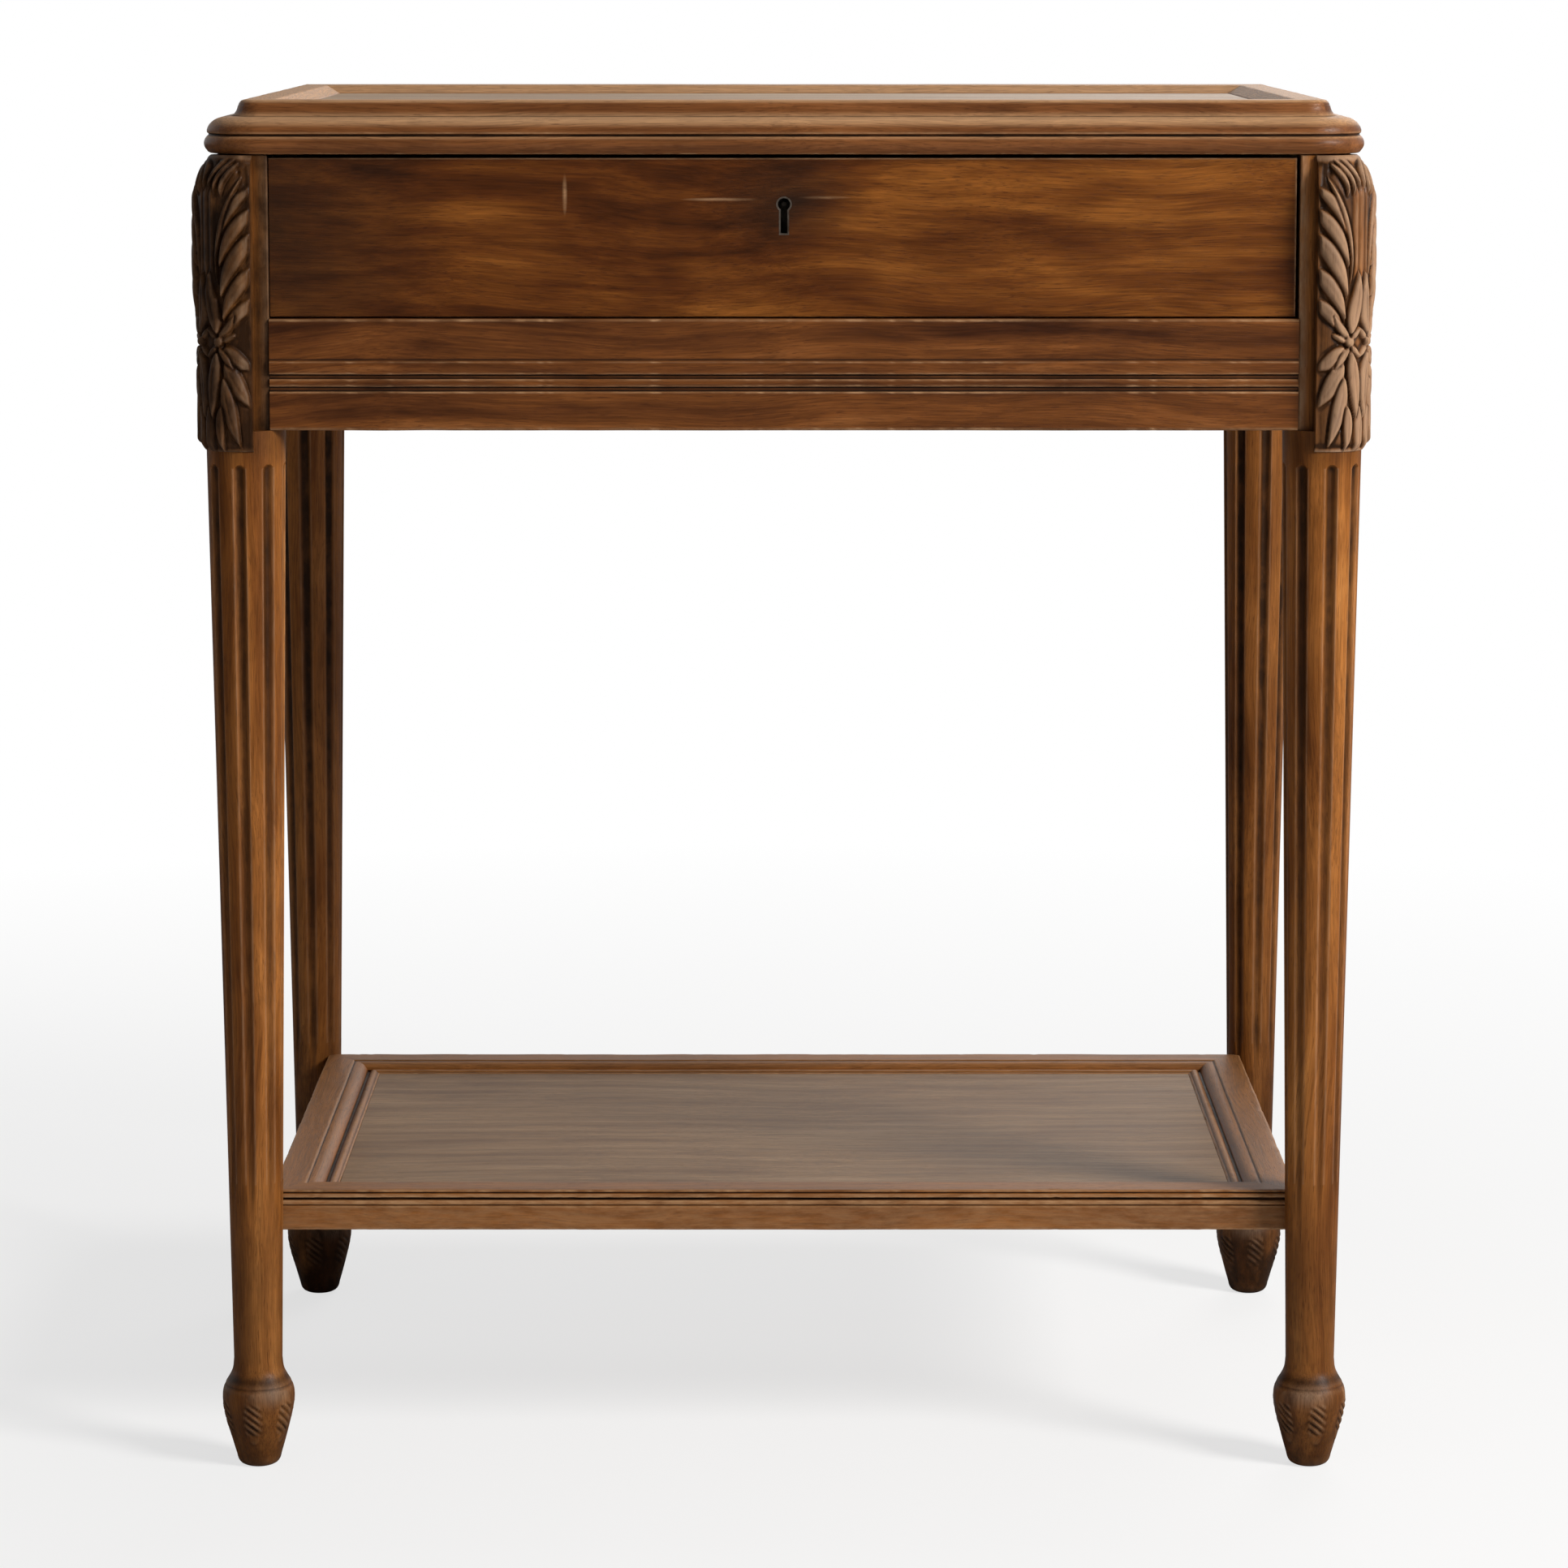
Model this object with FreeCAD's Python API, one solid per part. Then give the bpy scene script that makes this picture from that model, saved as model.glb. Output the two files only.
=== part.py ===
import FreeCAD, Part
import math
import os

# A walnut dressing table: four turned and fluted legs with carved corner posts,
# a case with one drawer, a hinged moulded lid with a mirror under it, and a shelf.
# X runs to the right, Y to the back and Z up; the origin is on the floor in the
# middle of the four legs.

# Whole table
HEIGHT = 750.0
LEG_X = 290.0
LEG_Y = 182.5
LID_GAP = 0.5
OVERRUN = 6.0
GLUE_GAP = 0.1

# Case
CASE_DEPTH = 147.0
RAIL_THICK = 18.0
BAND_HEIGHT = 60.0
FRONT_RAIL_DEPTH = 36.0
RAIL_PROUD = 1.5
FACE_SET_BACK = 2.5
TENON_THICK = 10.0
TENON_SHOULDER = 10.0
TENON_SETBACK = 5.0
FRONT_TENON_LONG = 20.0
SIDE_TENON_LONG = 13.0

# Moulding worked along the band of the front and side rails
BAND_FLAT = 23.0
BAND_BEAD = 7.0
BAND_QUIRK = 2.2
BAND_LOW_BEAD = 4.4
BAND_QUIRK_DEPTH = 1.8

# Corner posts and legs
BLOCK_HALF = 14.5
BLOCK_DROP = 11.0
COLUMN_R = 26.3
LEAF_R = 27.8
LEAF_FOOT_DROP = 70.0
LEAF_TOP_DROP = 23.0
LEAF_SWELL = 16.0
SHOULDER_IN = 10.4
CARVED_PAST_AXIS = 6.5
COLUMN_TOE_IN = 3.6
COLUMN_TOE_RISE = 6.0
SHAFT_TOP_R = 21.4
SHAFT_LOW_R = 13.3
FLUTES = 8
FLUTE_R = 2.4
FLUTE_SINK = 1.1
FLUTE_TOP_DROP = 8.0
FLUTE_BOTTOM = 166.0
FLUTE_POINT = 14.0
FLUTE_TURN_LEFT = 2.0
FLUTE_TURN_RIGHT = 16.0

# Foot
FOOT_HEIGHT = 60.0
FOOT_BOTTOM_R = 7.0
FOOT_TOE_R = 12.3
FOOT_TOE_RISE = 6.0
FOOT_BULB_R = 19.8
FOOT_BULB_Z = 38.0
FOOT_CHEEK_R = 17.3
FOOT_CHEEK_Z = 24.0
FOOT_NECK_R = 17.6
FOOT_NECK_Z = 47.5
FOOT_COVE_R = 14.2
FOOT_COVE_Z = 53.0

# Drawer
DRAWER_TOP_GAP = 1.5
DRAWER_BOTTOM_GAP = 1.0
DRAWER_LEFT_GAP = 0.6
DRAWER_RIGHT_GAP = 2.0
DRAWER_RUN_GAP = 0.3
DRAWER_FRONT_THICK = 18.0
VENEER_THICK = 1.2
DRAWER_SIDE_THICK = 10.0
DRAWER_SIDE_INSET = 0.4
DRAWER_BACK_THICK = 12.0
DRAWER_BACK_DROP = 8.0
DRAWER_REAR_ROOM = 16.5
DRAWER_LAP = 6.0
DRAWER_FLOOR_THICK = 5.0
DRAWER_FLOOR_UP = 11.7
DRAWER_FLOOR_GROOVE = 4.0
FLOOR_SCREW_X = 180.0
DOVETAILS = 3
DOVETAIL_FLARE = 2.2
DOVETAIL_NARROW = 11.0
DOVETAIL_MARGIN = 6.0

# What carries the drawer
RUNNER_WIDE = 20.5
RUNNER_HIGH = 20.0
GUIDE_ABOVE_RUNNER = 26.0
KICKER_WIDE = 22.0
KICKER_HIGH = 12.5
KICKER_GAP = 0.5
STOP_WIDE = 30.0
STOP_LONG = 10.0
STOP_HIGH = 8.0
STOP_FROM_MIDDLE = 200.0

# Lock in the drawer front
LOCK_HALF_WIDE = 30.0
LOCK_OVER_FLOOR = 18.5
LOCK_DEEP = 14.0
LOCK_WALL = 1.5
BOLT_HALF_WIDE = 10.0
BOLT_THICK = 5.0
BOLT_OVER_PIN = 5.3
BOLT_FROM_CASE_FRONT = 2.0
BOLT_TRAVEL = 6.5
BOLT_SLACK = 0.3
BOLT_REST_DROP = 0.3
KEYHOLE_UP_SHARE = 0.508
KEYHOLE_R = 3.3
KEYHOLE_SLOT = 3.6
KEYHOLE_TAIL = 15.5
KEY_CHAMBER_R = 8.0
KEY_CHAMBER_DEEP = 8.0
DRILL_PIN_R = 1.2
TALON_WIDE = 6.0
TALON_HIGH = 3.0
ESCUTCHEON_WALL = 0.9
ESCUTCHEON_DEEP = 3.0
STRIKE_HALF_LONG = 24.0
STRIKE_HALF_WIDE = 8.0
STRIKE_THICK = 1.5
STRIKE_SLACK = 1.5

# Lid
LID_THICK = 28.5
LID_OVERHANG = 18.5
LID_SIDE_OVERHANG = 22.0
LID_CORNER_R = 32.0
LID_RIM = 15.5
LID_BEVEL = 8.0
LID_PANEL_SINK = 4.7
LID_PANEL_THICK = 8.0
LID_TONGUE = 7.0
LID_TONGUE_THICK = 4.0

# Edge moulding of the lid, from its top arris down
EDGE_INSET = 21.5
EDGE_OVOLO = 3.0
EDGE_COVE_DROP = 5.8
EDGE_COVE_OUT = 3.1
EDGE_STEP = 3.0
EDGE_TORUS_OUT = 10.8
EDGE_TORUS_DROP = 8.7
EDGE_GROOVE = 1.7
EDGE_GROOVE_DEPTH = 1.3
EDGE_BEAD_BACK = 1.7
EDGE_BEAD_DROP = 8.0

# Mirror under the lid
MIRROR_SINK = 6.0
MIRROR_THICK = 4.0
BEAD_WIDE = 10.0

# Hinges
HINGE_X = 190.0
HINGE_LONG = 50.0
LEAF_THICK = 1.5
LEAF_WIDE = 15.0
KNUCKLE_R = 3.5
KNUCKLE_LONG = 16.0
KNUCKLE_END_GAP = 0.3
KNUCKLE_BACK_GAP = 0.3
PIN_R = 1.5
PIN_SLACK = 0.05
STOP_ANGLE = 100.0
STOP_TALL = 10.0
STOP_PLATE = 1.5
STOP_TAB = 2.0
STOP_GAP = 0.2

# Wood screws
SCREW_HEAD_R = 2.8
SCREW_HEAD_DEEP = 1.4
SCREW_R = 1.3
SCREW_LONG = 12.0
SCREW_PITCH = 17.0

# Shelf
SHELF_TOP = 152.0
SHELF_THICK = 22.5
SHELF_INSET = 7.0
SHELF_RAIL_WIDE = 35.0
SHELF_MOULD_WIDE = 15.0
SHELF_SINK = 5.0
SHELF_MOULD_DROP = 2.2
SHELF_PANEL_THICK = 9.0
SHELF_TONGUE = 8.0
SHELF_TONGUE_THICK = 5.0
SHELF_EDGE_REBATE = 1.6
SHELF_EDGE_LIP = 3.0
SHELF_EDGE_QUIRK = 2.0
SHELF_COPE_GAP = 0.15
DOWEL_R = 4.0
DOWEL_IN_LEG = 6.0
DOWEL_IN_SHELF = 34.0

# Places that follow from the sizes above
CASE_TOP = HEIGHT - LID_THICK - LID_GAP
CASE_BOTTOM = CASE_TOP - CASE_DEPTH
BAND_TOP = CASE_BOTTOM + BAND_HEIGHT
BLOCK_BOTTOM = CASE_BOTTOM - BLOCK_DROP
FLANK_X = LEG_X - BLOCK_HALF
FLANK_Y = LEG_Y - BLOCK_HALF
FACE_OUT = BLOCK_HALF - FACE_SET_BACK
FRONT_FACE = -(LEG_Y + FACE_OUT)
BACK_FACE = LEG_Y + FACE_OUT
SIDE_FACE = LEG_X + FACE_OUT
SIDE_INNER = SIDE_FACE - RAIL_THICK
BACK_INNER = BACK_FACE - RAIL_THICK
BAND_OUT = BLOCK_HALF + RAIL_PROUD
FRONT_RAIL_FRONT = -(LEG_Y + BAND_OUT)
FRONT_RAIL_BACK = FRONT_RAIL_FRONT + FRONT_RAIL_DEPTH
TENON_OUTER = LEG_Y + FACE_OUT - TENON_SETBACK + TENON_THICK / 2
FRONT_BOARD_BACK = FRONT_FACE + DRAWER_FRONT_THICK
DRAWER_LEFT = -FLANK_X + DRAWER_LEFT_GAP
DRAWER_RIGHT = FLANK_X - DRAWER_RIGHT_GAP
DRAWER_FRONT_BOTTOM = BAND_TOP + DRAWER_BOTTOM_GAP
DRAWER_FRONT_TOP = CASE_TOP - DRAWER_TOP_GAP
DRAWER_SIDE_BOTTOM = BAND_TOP + DRAWER_RUN_GAP
DRAWER_SIDE_TOP = CASE_TOP - KICKER_HIGH - KICKER_GAP
DRAWER_SIDE_LEFT = DRAWER_LEFT + DRAWER_SIDE_INSET
DRAWER_SIDE_RIGHT = DRAWER_RIGHT - DRAWER_SIDE_INSET
DRAWER_REAR = BACK_INNER - DRAWER_REAR_ROOM
DRAWER_BACK_FRONT = DRAWER_REAR - DRAWER_BACK_THICK
FLOOR_BOTTOM = DRAWER_SIDE_BOTTOM + DRAWER_FLOOR_UP
FLOOR_TOP = FLOOR_BOTTOM + DRAWER_FLOOR_THICK
LOCK_FRONT = FRONT_BOARD_BACK - LOCK_DEEP
LOCK_BOTTOM = FLOOR_TOP + LOCK_OVER_FLOOR
BOLT_FRONT = LOCK_FRONT + BOLT_FROM_CASE_FRONT
BOLT_TOP = DRAWER_FRONT_TOP - BOLT_REST_DROP
KEYHOLE_Z = LOCK_BOTTOM + (DRAWER_FRONT_TOP - LOCK_BOTTOM) * KEYHOLE_UP_SHARE
BOLT_BOTTOM = KEYHOLE_Z + BOLT_OVER_PIN
LID_BOTTOM = CASE_TOP + LID_GAP
LID_HALF = LEG_X + LID_SIDE_OVERHANG
LID_FRONT = -(LEG_Y + LID_OVERHANG)
LID_RAIL_WIDE = EDGE_INSET + LID_RIM + LID_BEVEL
LID_HOLE_X = LID_HALF - LID_RAIL_WIDE
LID_HOLE_Y = -LID_FRONT - LID_RAIL_WIDE
LID_PANEL_TOP = HEIGHT - LID_PANEL_SINK
LID_PANEL_BOTTOM = LID_PANEL_TOP - LID_PANEL_THICK
MIRROR_FACE = LID_BOTTOM + MIRROR_SINK
PIVOT_Y = BACK_FACE + KNUCKLE_R + KNUCKLE_BACK_GAP
PIVOT_Z = CASE_TOP + LID_GAP / 2
SHELF_HALF_X = LEG_X - SHELF_INSET
SHELF_HALF_Y = LEG_Y - SHELF_INSET
SHELF_BOTTOM = SHELF_TOP - SHELF_THICK
SHELF_HOLE_X = SHELF_HALF_X - SHELF_RAIL_WIDE
SHELF_HOLE_Y = SHELF_HALF_Y - SHELF_RAIL_WIDE
SHELF_PANEL_TOP = SHELF_TOP - SHELF_SINK


def point(x, y, z):
    return FreeCAD.Vector(x, y, z)


def box(x0, x1, y0, y1, z0, z1):
    """A block between two corners, given as pairs of places along X, Y and Z."""
    return Part.makeBox(x1 - x0, y1 - y0, z1 - z0, point(x0, y0, z0))


def prism(points, move):
    """A closed outline of straight lines, pushed along a vector."""
    return Part.Face(Part.makePolygon(points + points[:1])).extrude(move)


def line(a, b):
    return Part.LineSegment(a, b).toShape()


def arc(a, through, b):
    return Part.Arc(a, through, b).toShape()


def mirror_x(shape):
    return shape.mirror(point(0, 0, 0), point(1, 0, 0))


def mirror_y(shape):
    return shape.mirror(point(0, 0, 0), point(0, 1, 0))


def group(solids):
    return Part.makeCompound(solids)


def save(name, shape):
    shape.exportStep("parts/" + name + ".step")


def bulge(r0, z0, r1, z1, out):
    """The middle of an arc from (r0, z0) to (r1, z1), pushed out of its chord."""
    long = math.hypot(r1 - r0, z1 - z0)
    return point((r0 + r1) / 2 + out * (z1 - z0) / long, 0, (z0 + z1) / 2 - out * (r1 - r0) / long)


def revolved(edges):
    """A half outline in the XZ plane, turned once about Z."""
    face = Part.Face(Part.Wire(edges))
    return face.revolve(point(0, 0, 0), point(0, 0, 1), 360)


# Legs

def shaft_radius(z):
    """The leg's radius where it tapers evenly from the case down to the foot."""
    share = (z - FOOT_HEIGHT) / (CASE_BOTTOM - FOOT_HEIGHT)
    return SHAFT_LOW_R + share * (SHAFT_TOP_R - SHAFT_LOW_R)


def leg_turning():
    """The turned shaft and its bulb foot, as one revolved solid."""
    toe = (FOOT_TOE_R, FOOT_TOE_RISE)
    cheek = (FOOT_CHEEK_R, FOOT_CHEEK_Z)
    neck = (FOOT_NECK_R, FOOT_NECK_Z)
    cove = point(FOOT_COVE_R, 0, FOOT_COVE_Z)
    start = point(SHAFT_LOW_R, 0, FOOT_HEIGHT)
    toe_round = bulge(FOOT_BOTTOM_R, 0, toe[0], toe[1], FOOT_TOE_RISE / 4)
    edges = [
        line(point(0, 0, 0), point(FOOT_BOTTOM_R, 0, 0)),
        arc(point(FOOT_BOTTOM_R, 0, 0), toe_round, point(toe[0], 0, toe[1])),
        line(point(toe[0], 0, toe[1]), point(cheek[0], 0, cheek[1])),
        arc(point(cheek[0], 0, cheek[1]), point(FOOT_BULB_R, 0, FOOT_BULB_Z),
            point(neck[0], 0, neck[1])),
        arc(point(neck[0], 0, neck[1]), cove, start),
        line(start, point(SHAFT_TOP_R, 0, CASE_BOTTOM)),
        line(point(SHAFT_TOP_R, 0, CASE_BOTTOM), point(0, 0, CASE_BOTTOM)),
        line(point(0, 0, CASE_BOTTOM), point(0, 0, 0)),
    ]
    return revolved(edges)


def flute(turn):
    """A round groove along the taper of the shaft, domed at its top and pointed at its foot."""
    top = BLOCK_BOTTOM - FLUTE_TOP_DROP
    start = point(shaft_radius(FLUTE_BOTTOM) + FLUTE_R - FLUTE_SINK, 0, FLUTE_BOTTOM)
    end = point(shaft_radius(top) + FLUTE_R - FLUTE_SINK, 0, top)
    run = (end - start).normalize()
    out = point(run.z, 0, -run.x) * FLUTE_R
    dome_mid = end + (run * FLUTE_R + out) * math.sqrt(0.5)
    dome = end + run * FLUTE_R
    tip = start - run * FLUTE_POINT
    edges = [
        line(tip, start + out),
        line(start + out, end + out),
        arc(end + out, dome_mid, dome),
        line(dome, tip),
    ]
    groove = Part.Face(Part.Wire(edges)).revolve(start, run, 360)
    groove.rotate(point(0, 0, 0), point(0, 0, 1), turn - 90)
    return groove


def corner_column():
    """The rounded column that carries the carving, kept to the outer corner of the post."""
    shoulder = CASE_TOP - LEAF_TOP_DROP
    swell = CASE_TOP - LEAF_FOOT_DROP
    top_r = LEAF_R - SHOULDER_IN
    toe_r = COLUMN_R - COLUMN_TOE_IN
    toe_z = BLOCK_BOTTOM + COLUMN_TOE_RISE
    toe_mid = bulge(toe_r, BLOCK_BOTTOM, COLUMN_R, toe_z, COLUMN_TOE_IN / 3)
    shoulder_mid = bulge(LEAF_R, shoulder, top_r, CASE_TOP, SHOULDER_IN / 3)
    edges = [
        line(point(0, 0, BLOCK_BOTTOM), point(toe_r, 0, BLOCK_BOTTOM)),
        arc(point(toe_r, 0, BLOCK_BOTTOM), toe_mid, point(COLUMN_R, 0, toe_z)),
        line(point(COLUMN_R, 0, toe_z), point(COLUMN_R, 0, swell - LEAF_SWELL)),
        line(point(COLUMN_R, 0, swell - LEAF_SWELL), point(LEAF_R, 0, swell)),
        line(point(LEAF_R, 0, swell), point(LEAF_R, 0, shoulder)),
        arc(point(LEAF_R, 0, shoulder), shoulder_mid, point(top_r, 0, CASE_TOP)),
        line(point(top_r, 0, CASE_TOP), point(0, 0, CASE_TOP)),
        line(point(0, 0, CASE_TOP), point(0, 0, BLOCK_BOTTOM)),
    ]
    reach = LEAF_R + OVERRUN
    keep = box(-CARVED_PAST_AXIS, reach, -reach, CARVED_PAST_AXIS, 0, HEIGHT)
    return revolved(edges).common(keep)


def leg(side, depth):
    """One leg in its place: side is 1 on the right, depth is 1 at the back."""
    post = box(-BLOCK_HALF, BLOCK_HALF, -BLOCK_HALF, BLOCK_HALF, CASE_BOTTOM, CASE_TOP)
    body = leg_turning().fuse([post, corner_column()])
    if side < 0:
        body = mirror_x(body)
    if depth > 0:
        body = mirror_y(body)
    first = FLUTE_TURN_RIGHT if side > 0 else FLUTE_TURN_LEFT
    grooves = [flute(first + 360 * k / FLUTES) for k in range(FLUTES)]
    body = body.cut(grooves)
    body.translate(point(side * LEG_X, depth * LEG_Y, 0))
    return body


# Case rails

def band_quirks(outer, along, reach):
    """Two square quirks that set off the beads on a moulded band, at an outer face."""
    first = BAND_TOP - BAND_FLAT
    second = first - BAND_BEAD - BAND_QUIRK
    third = second - BAND_LOW_BEAD - BAND_QUIRK
    cuts = []
    for z in (second, third):
        if along == "x":
            cuts.append(box(-reach, reach, outer, outer + BAND_QUIRK_DEPTH, z, z + BAND_QUIRK))
        else:
            cuts.append(box(outer - BAND_QUIRK_DEPTH, outer, -reach, reach, z, z + BAND_QUIRK))
    return cuts


def front_rail():
    """The deep moulded rail under the drawer, tenoned into the front posts."""
    body = box(-FLANK_X, FLANK_X, FRONT_RAIL_FRONT, FRONT_RAIL_BACK, CASE_BOTTOM, BAND_TOP)
    body = body.cut(band_quirks(FRONT_RAIL_FRONT, "x", FLANK_X))
    reach = FLANK_X + FRONT_TENON_LONG
    tenon = box(-reach, reach, -TENON_OUTER, -TENON_OUTER + TENON_THICK,
                CASE_BOTTOM + TENON_SHOULDER, BAND_TOP - TENON_SHOULDER)
    return body.fuse(tenon).removeSplitter()


def back_rail():
    """The plain rail across the back, tenoned into the rear posts."""
    body = box(-FLANK_X, FLANK_X, BACK_INNER, BACK_FACE, CASE_BOTTOM, CASE_TOP)
    reach = FLANK_X + FRONT_TENON_LONG
    tenon = box(-reach, reach, TENON_OUTER - TENON_THICK, TENON_OUTER,
                CASE_BOTTOM + TENON_SHOULDER, CASE_TOP - TENON_SHOULDER)
    return body.fuse(tenon).removeSplitter()


def side_rail():
    """The right side of the case: a flat board with the moulded band along its foot."""
    band_face = LEG_X + BAND_OUT
    board = box(SIDE_INNER, SIDE_FACE, -FLANK_Y, FLANK_Y, CASE_BOTTOM, CASE_TOP)
    band = box(SIDE_INNER, band_face, -FLANK_Y, FLANK_Y, CASE_BOTTOM, BAND_TOP)
    band = band.cut(band_quirks(band_face, "y", FLANK_Y))
    reach = FLANK_Y + SIDE_TENON_LONG
    middle = (SIDE_INNER + SIDE_FACE) / 2
    tenon = box(middle - TENON_THICK / 2, middle + TENON_THICK / 2, -reach, reach,
                CASE_BOTTOM + TENON_SHOULDER, CASE_TOP - TENON_SHOULDER)
    return board.fuse([band, tenon]).removeSplitter()


# What carries the drawer

def drawer_runner():
    top = BAND_TOP
    return box(FLANK_X - RUNNER_WIDE, FLANK_X, FRONT_RAIL_BACK, BACK_INNER, top - RUNNER_HIGH, top)


def drawer_guide():
    low = BAND_TOP - RUNNER_HIGH
    return box(FLANK_X, SIDE_INNER, -FLANK_Y, FLANK_Y, low, BAND_TOP + GUIDE_ABOVE_RUNNER)


def drawer_kicker():
    """The strip over a drawer side that keeps the open drawer from tipping."""
    low = CASE_TOP - KICKER_HIGH
    return box(SIDE_INNER - KICKER_WIDE, SIDE_INNER, -FLANK_Y, FLANK_Y, low, CASE_TOP)


def drawer_stops():
    """Two blocks on the front rail that the closed drawer front comes to rest against."""
    front = FRONT_BOARD_BACK + STOP_GAP
    block = box(STOP_FROM_MIDDLE, STOP_FROM_MIDDLE + STOP_WIDE, front, front + STOP_LONG,
                BAND_TOP, BAND_TOP + STOP_HIGH)
    return group([block, mirror_x(block)])


# Drawer

def dovetails(x0, x1, root, tip):
    """The row of tails at one end of a drawer side, each wider at its tip."""
    tails = []
    room = DRAWER_SIDE_TOP - DRAWER_SIDE_BOTTOM - DOVETAIL_MARGIN * 2
    for k in range(DOVETAILS):
        middle = DRAWER_SIDE_BOTTOM + DOVETAIL_MARGIN + room * (k + 0.5) / DOVETAILS
        narrow = DOVETAIL_NARROW / 2
        wide = narrow + DOVETAIL_FLARE
        outline = [point(x0, root, middle - narrow), point(x0, tip, middle - wide),
                   point(x0, tip, middle + wide), point(x0, root, middle + narrow)]
        tails.append(prism(outline, point(x1 - x0, 0, 0)))
    return tails


def drawer_floor():
    """The thin bottom board: grooved into front and sides, passing under the back."""
    groove = DRAWER_SIDE_THICK - DRAWER_FLOOR_GROOVE
    return box(DRAWER_SIDE_LEFT + groove, DRAWER_SIDE_RIGHT - groove,
               FRONT_BOARD_BACK - DRAWER_FLOOR_GROOVE, DRAWER_REAR, FLOOR_BOTTOM, FLOOR_TOP)


def drawer_side(x0):
    """A drawer side from its outer or inner face x0, with tails at both ends."""
    x1 = x0 + DRAWER_SIDE_THICK
    body = box(x0, x1, FRONT_BOARD_BACK, DRAWER_BACK_FRONT, DRAWER_SIDE_BOTTOM, DRAWER_SIDE_TOP)
    front_tails = dovetails(x0, x1, FRONT_BOARD_BACK, FRONT_FACE + DRAWER_LAP)
    rear_tails = dovetails(x0, x1, DRAWER_BACK_FRONT, DRAWER_REAR)
    return body.fuse(front_tails + rear_tails).cut(drawer_floor())


def drawer_sides():
    left = drawer_side(DRAWER_SIDE_LEFT)
    right = drawer_side(DRAWER_SIDE_RIGHT - DRAWER_SIDE_THICK)
    return left, right


def keyhole(grow, y0, y1):
    """The keyhole's round head and straight tail, grown all round and cut along Y."""
    head = Part.makeCylinder(KEYHOLE_R + grow, y1 - y0, point(0, y0, KEYHOLE_Z), point(0, 1, 0))
    half = KEYHOLE_SLOT / 2 + grow
    tail = box(-half, half, y0, y1, KEYHOLE_Z - KEYHOLE_TAIL - grow, KEYHOLE_Z)
    return head.fuse(tail)


def lock_outline():
    return box(-LOCK_HALF_WIDE, LOCK_HALF_WIDE, LOCK_FRONT, FRONT_BOARD_BACK,
               LOCK_BOTTOM, DRAWER_FRONT_TOP)


def drawer_front():
    """The drawer front's core, with its dovetail sockets, lock mortise and keyhole."""
    body = box(DRAWER_LEFT, DRAWER_RIGHT, FRONT_FACE + VENEER_THICK, FRONT_BOARD_BACK,
               DRAWER_FRONT_BOTTOM, DRAWER_FRONT_TOP)
    hole = keyhole(0, FRONT_FACE, LOCK_FRONT + OVERRUN)
    return body.cut(list(drawer_sides()) + [drawer_floor(), lock_outline(), hole, keyhole_liner()]
                    + screws_of_lock())


def drawer_veneer():
    """The figured sheet on the face of the drawer front."""
    body = box(DRAWER_LEFT, DRAWER_RIGHT, FRONT_FACE, FRONT_FACE + VENEER_THICK,
               DRAWER_FRONT_BOTTOM, DRAWER_FRONT_TOP)
    return body.cut([keyhole(0, FRONT_FACE - OVERRUN, LOCK_FRONT), keyhole_liner()])


def drawer_back():
    body = box(DRAWER_SIDE_LEFT, DRAWER_SIDE_RIGHT, DRAWER_BACK_FRONT, DRAWER_REAR,
               FLOOR_TOP, DRAWER_SIDE_TOP - DRAWER_BACK_DROP)
    return body.cut(list(drawer_sides()) + floor_screws())


def drawer_bottom():
    return drawer_floor().cut(floor_screws())


def wood_screw(head, way):
    """A countersunk screw: head is the middle of its flat top, way is where it points."""
    way = way.normalize()
    cone = Part.makeCone(SCREW_HEAD_R, SCREW_R, SCREW_HEAD_DEEP, head, way)
    shank = Part.makeCylinder(SCREW_R, SCREW_LONG, head, way)
    return cone.fuse(shank).removeSplitter()


def floor_screws():
    """Three screws up through the drawer bottom into its back."""
    y = (DRAWER_BACK_FRONT + DRAWER_REAR) / 2
    return [wood_screw(point(x, y, FLOOR_BOTTOM), point(0, 0, 1)) for x in (-FLOOR_SCREW_X, 0, FLOOR_SCREW_X)]


# Lock

def screws_of_lock():
    """Four screws through the lock's corners into the drawer front."""
    out = LOCK_HALF_WIDE - SCREW_HEAD_R * 2
    low = LOCK_BOTTOM + SCREW_HEAD_R * 2
    high = DRAWER_FRONT_TOP - SCREW_HEAD_R * 2
    way = point(0, -1, 0)
    return [wood_screw(point(x, FRONT_BOARD_BACK, z), way) for x in (-out, out) for z in (low, high)]


def lock_case():
    """The lock's box, with a channel for the bolt, a key chamber and a drill pin."""
    slack = BOLT_SLACK
    channel = box(-BOLT_HALF_WIDE - slack, BOLT_HALF_WIDE + slack,
                  BOLT_FRONT - slack, BOLT_FRONT + BOLT_THICK + slack,
                  BOLT_BOTTOM - slack, DRAWER_FRONT_TOP + OVERRUN)
    inside = LOCK_FRONT + LOCK_WALL
    chamber = Part.makeCylinder(KEY_CHAMBER_R, KEY_CHAMBER_DEEP,
                                point(0, inside, KEYHOLE_Z), point(0, 1, 0))
    entry = keyhole(0, LOCK_FRONT - OVERRUN, inside + KEY_CHAMBER_DEEP)
    pin_long = LOCK_DEEP - LOCK_WALL
    pin = Part.makeCylinder(DRILL_PIN_R, pin_long, point(0, LOCK_FRONT, KEYHOLE_Z), point(0, 1, 0))
    return lock_outline().cut([channel, chamber, entry] + screws_of_lock()).fuse(pin)


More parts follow.
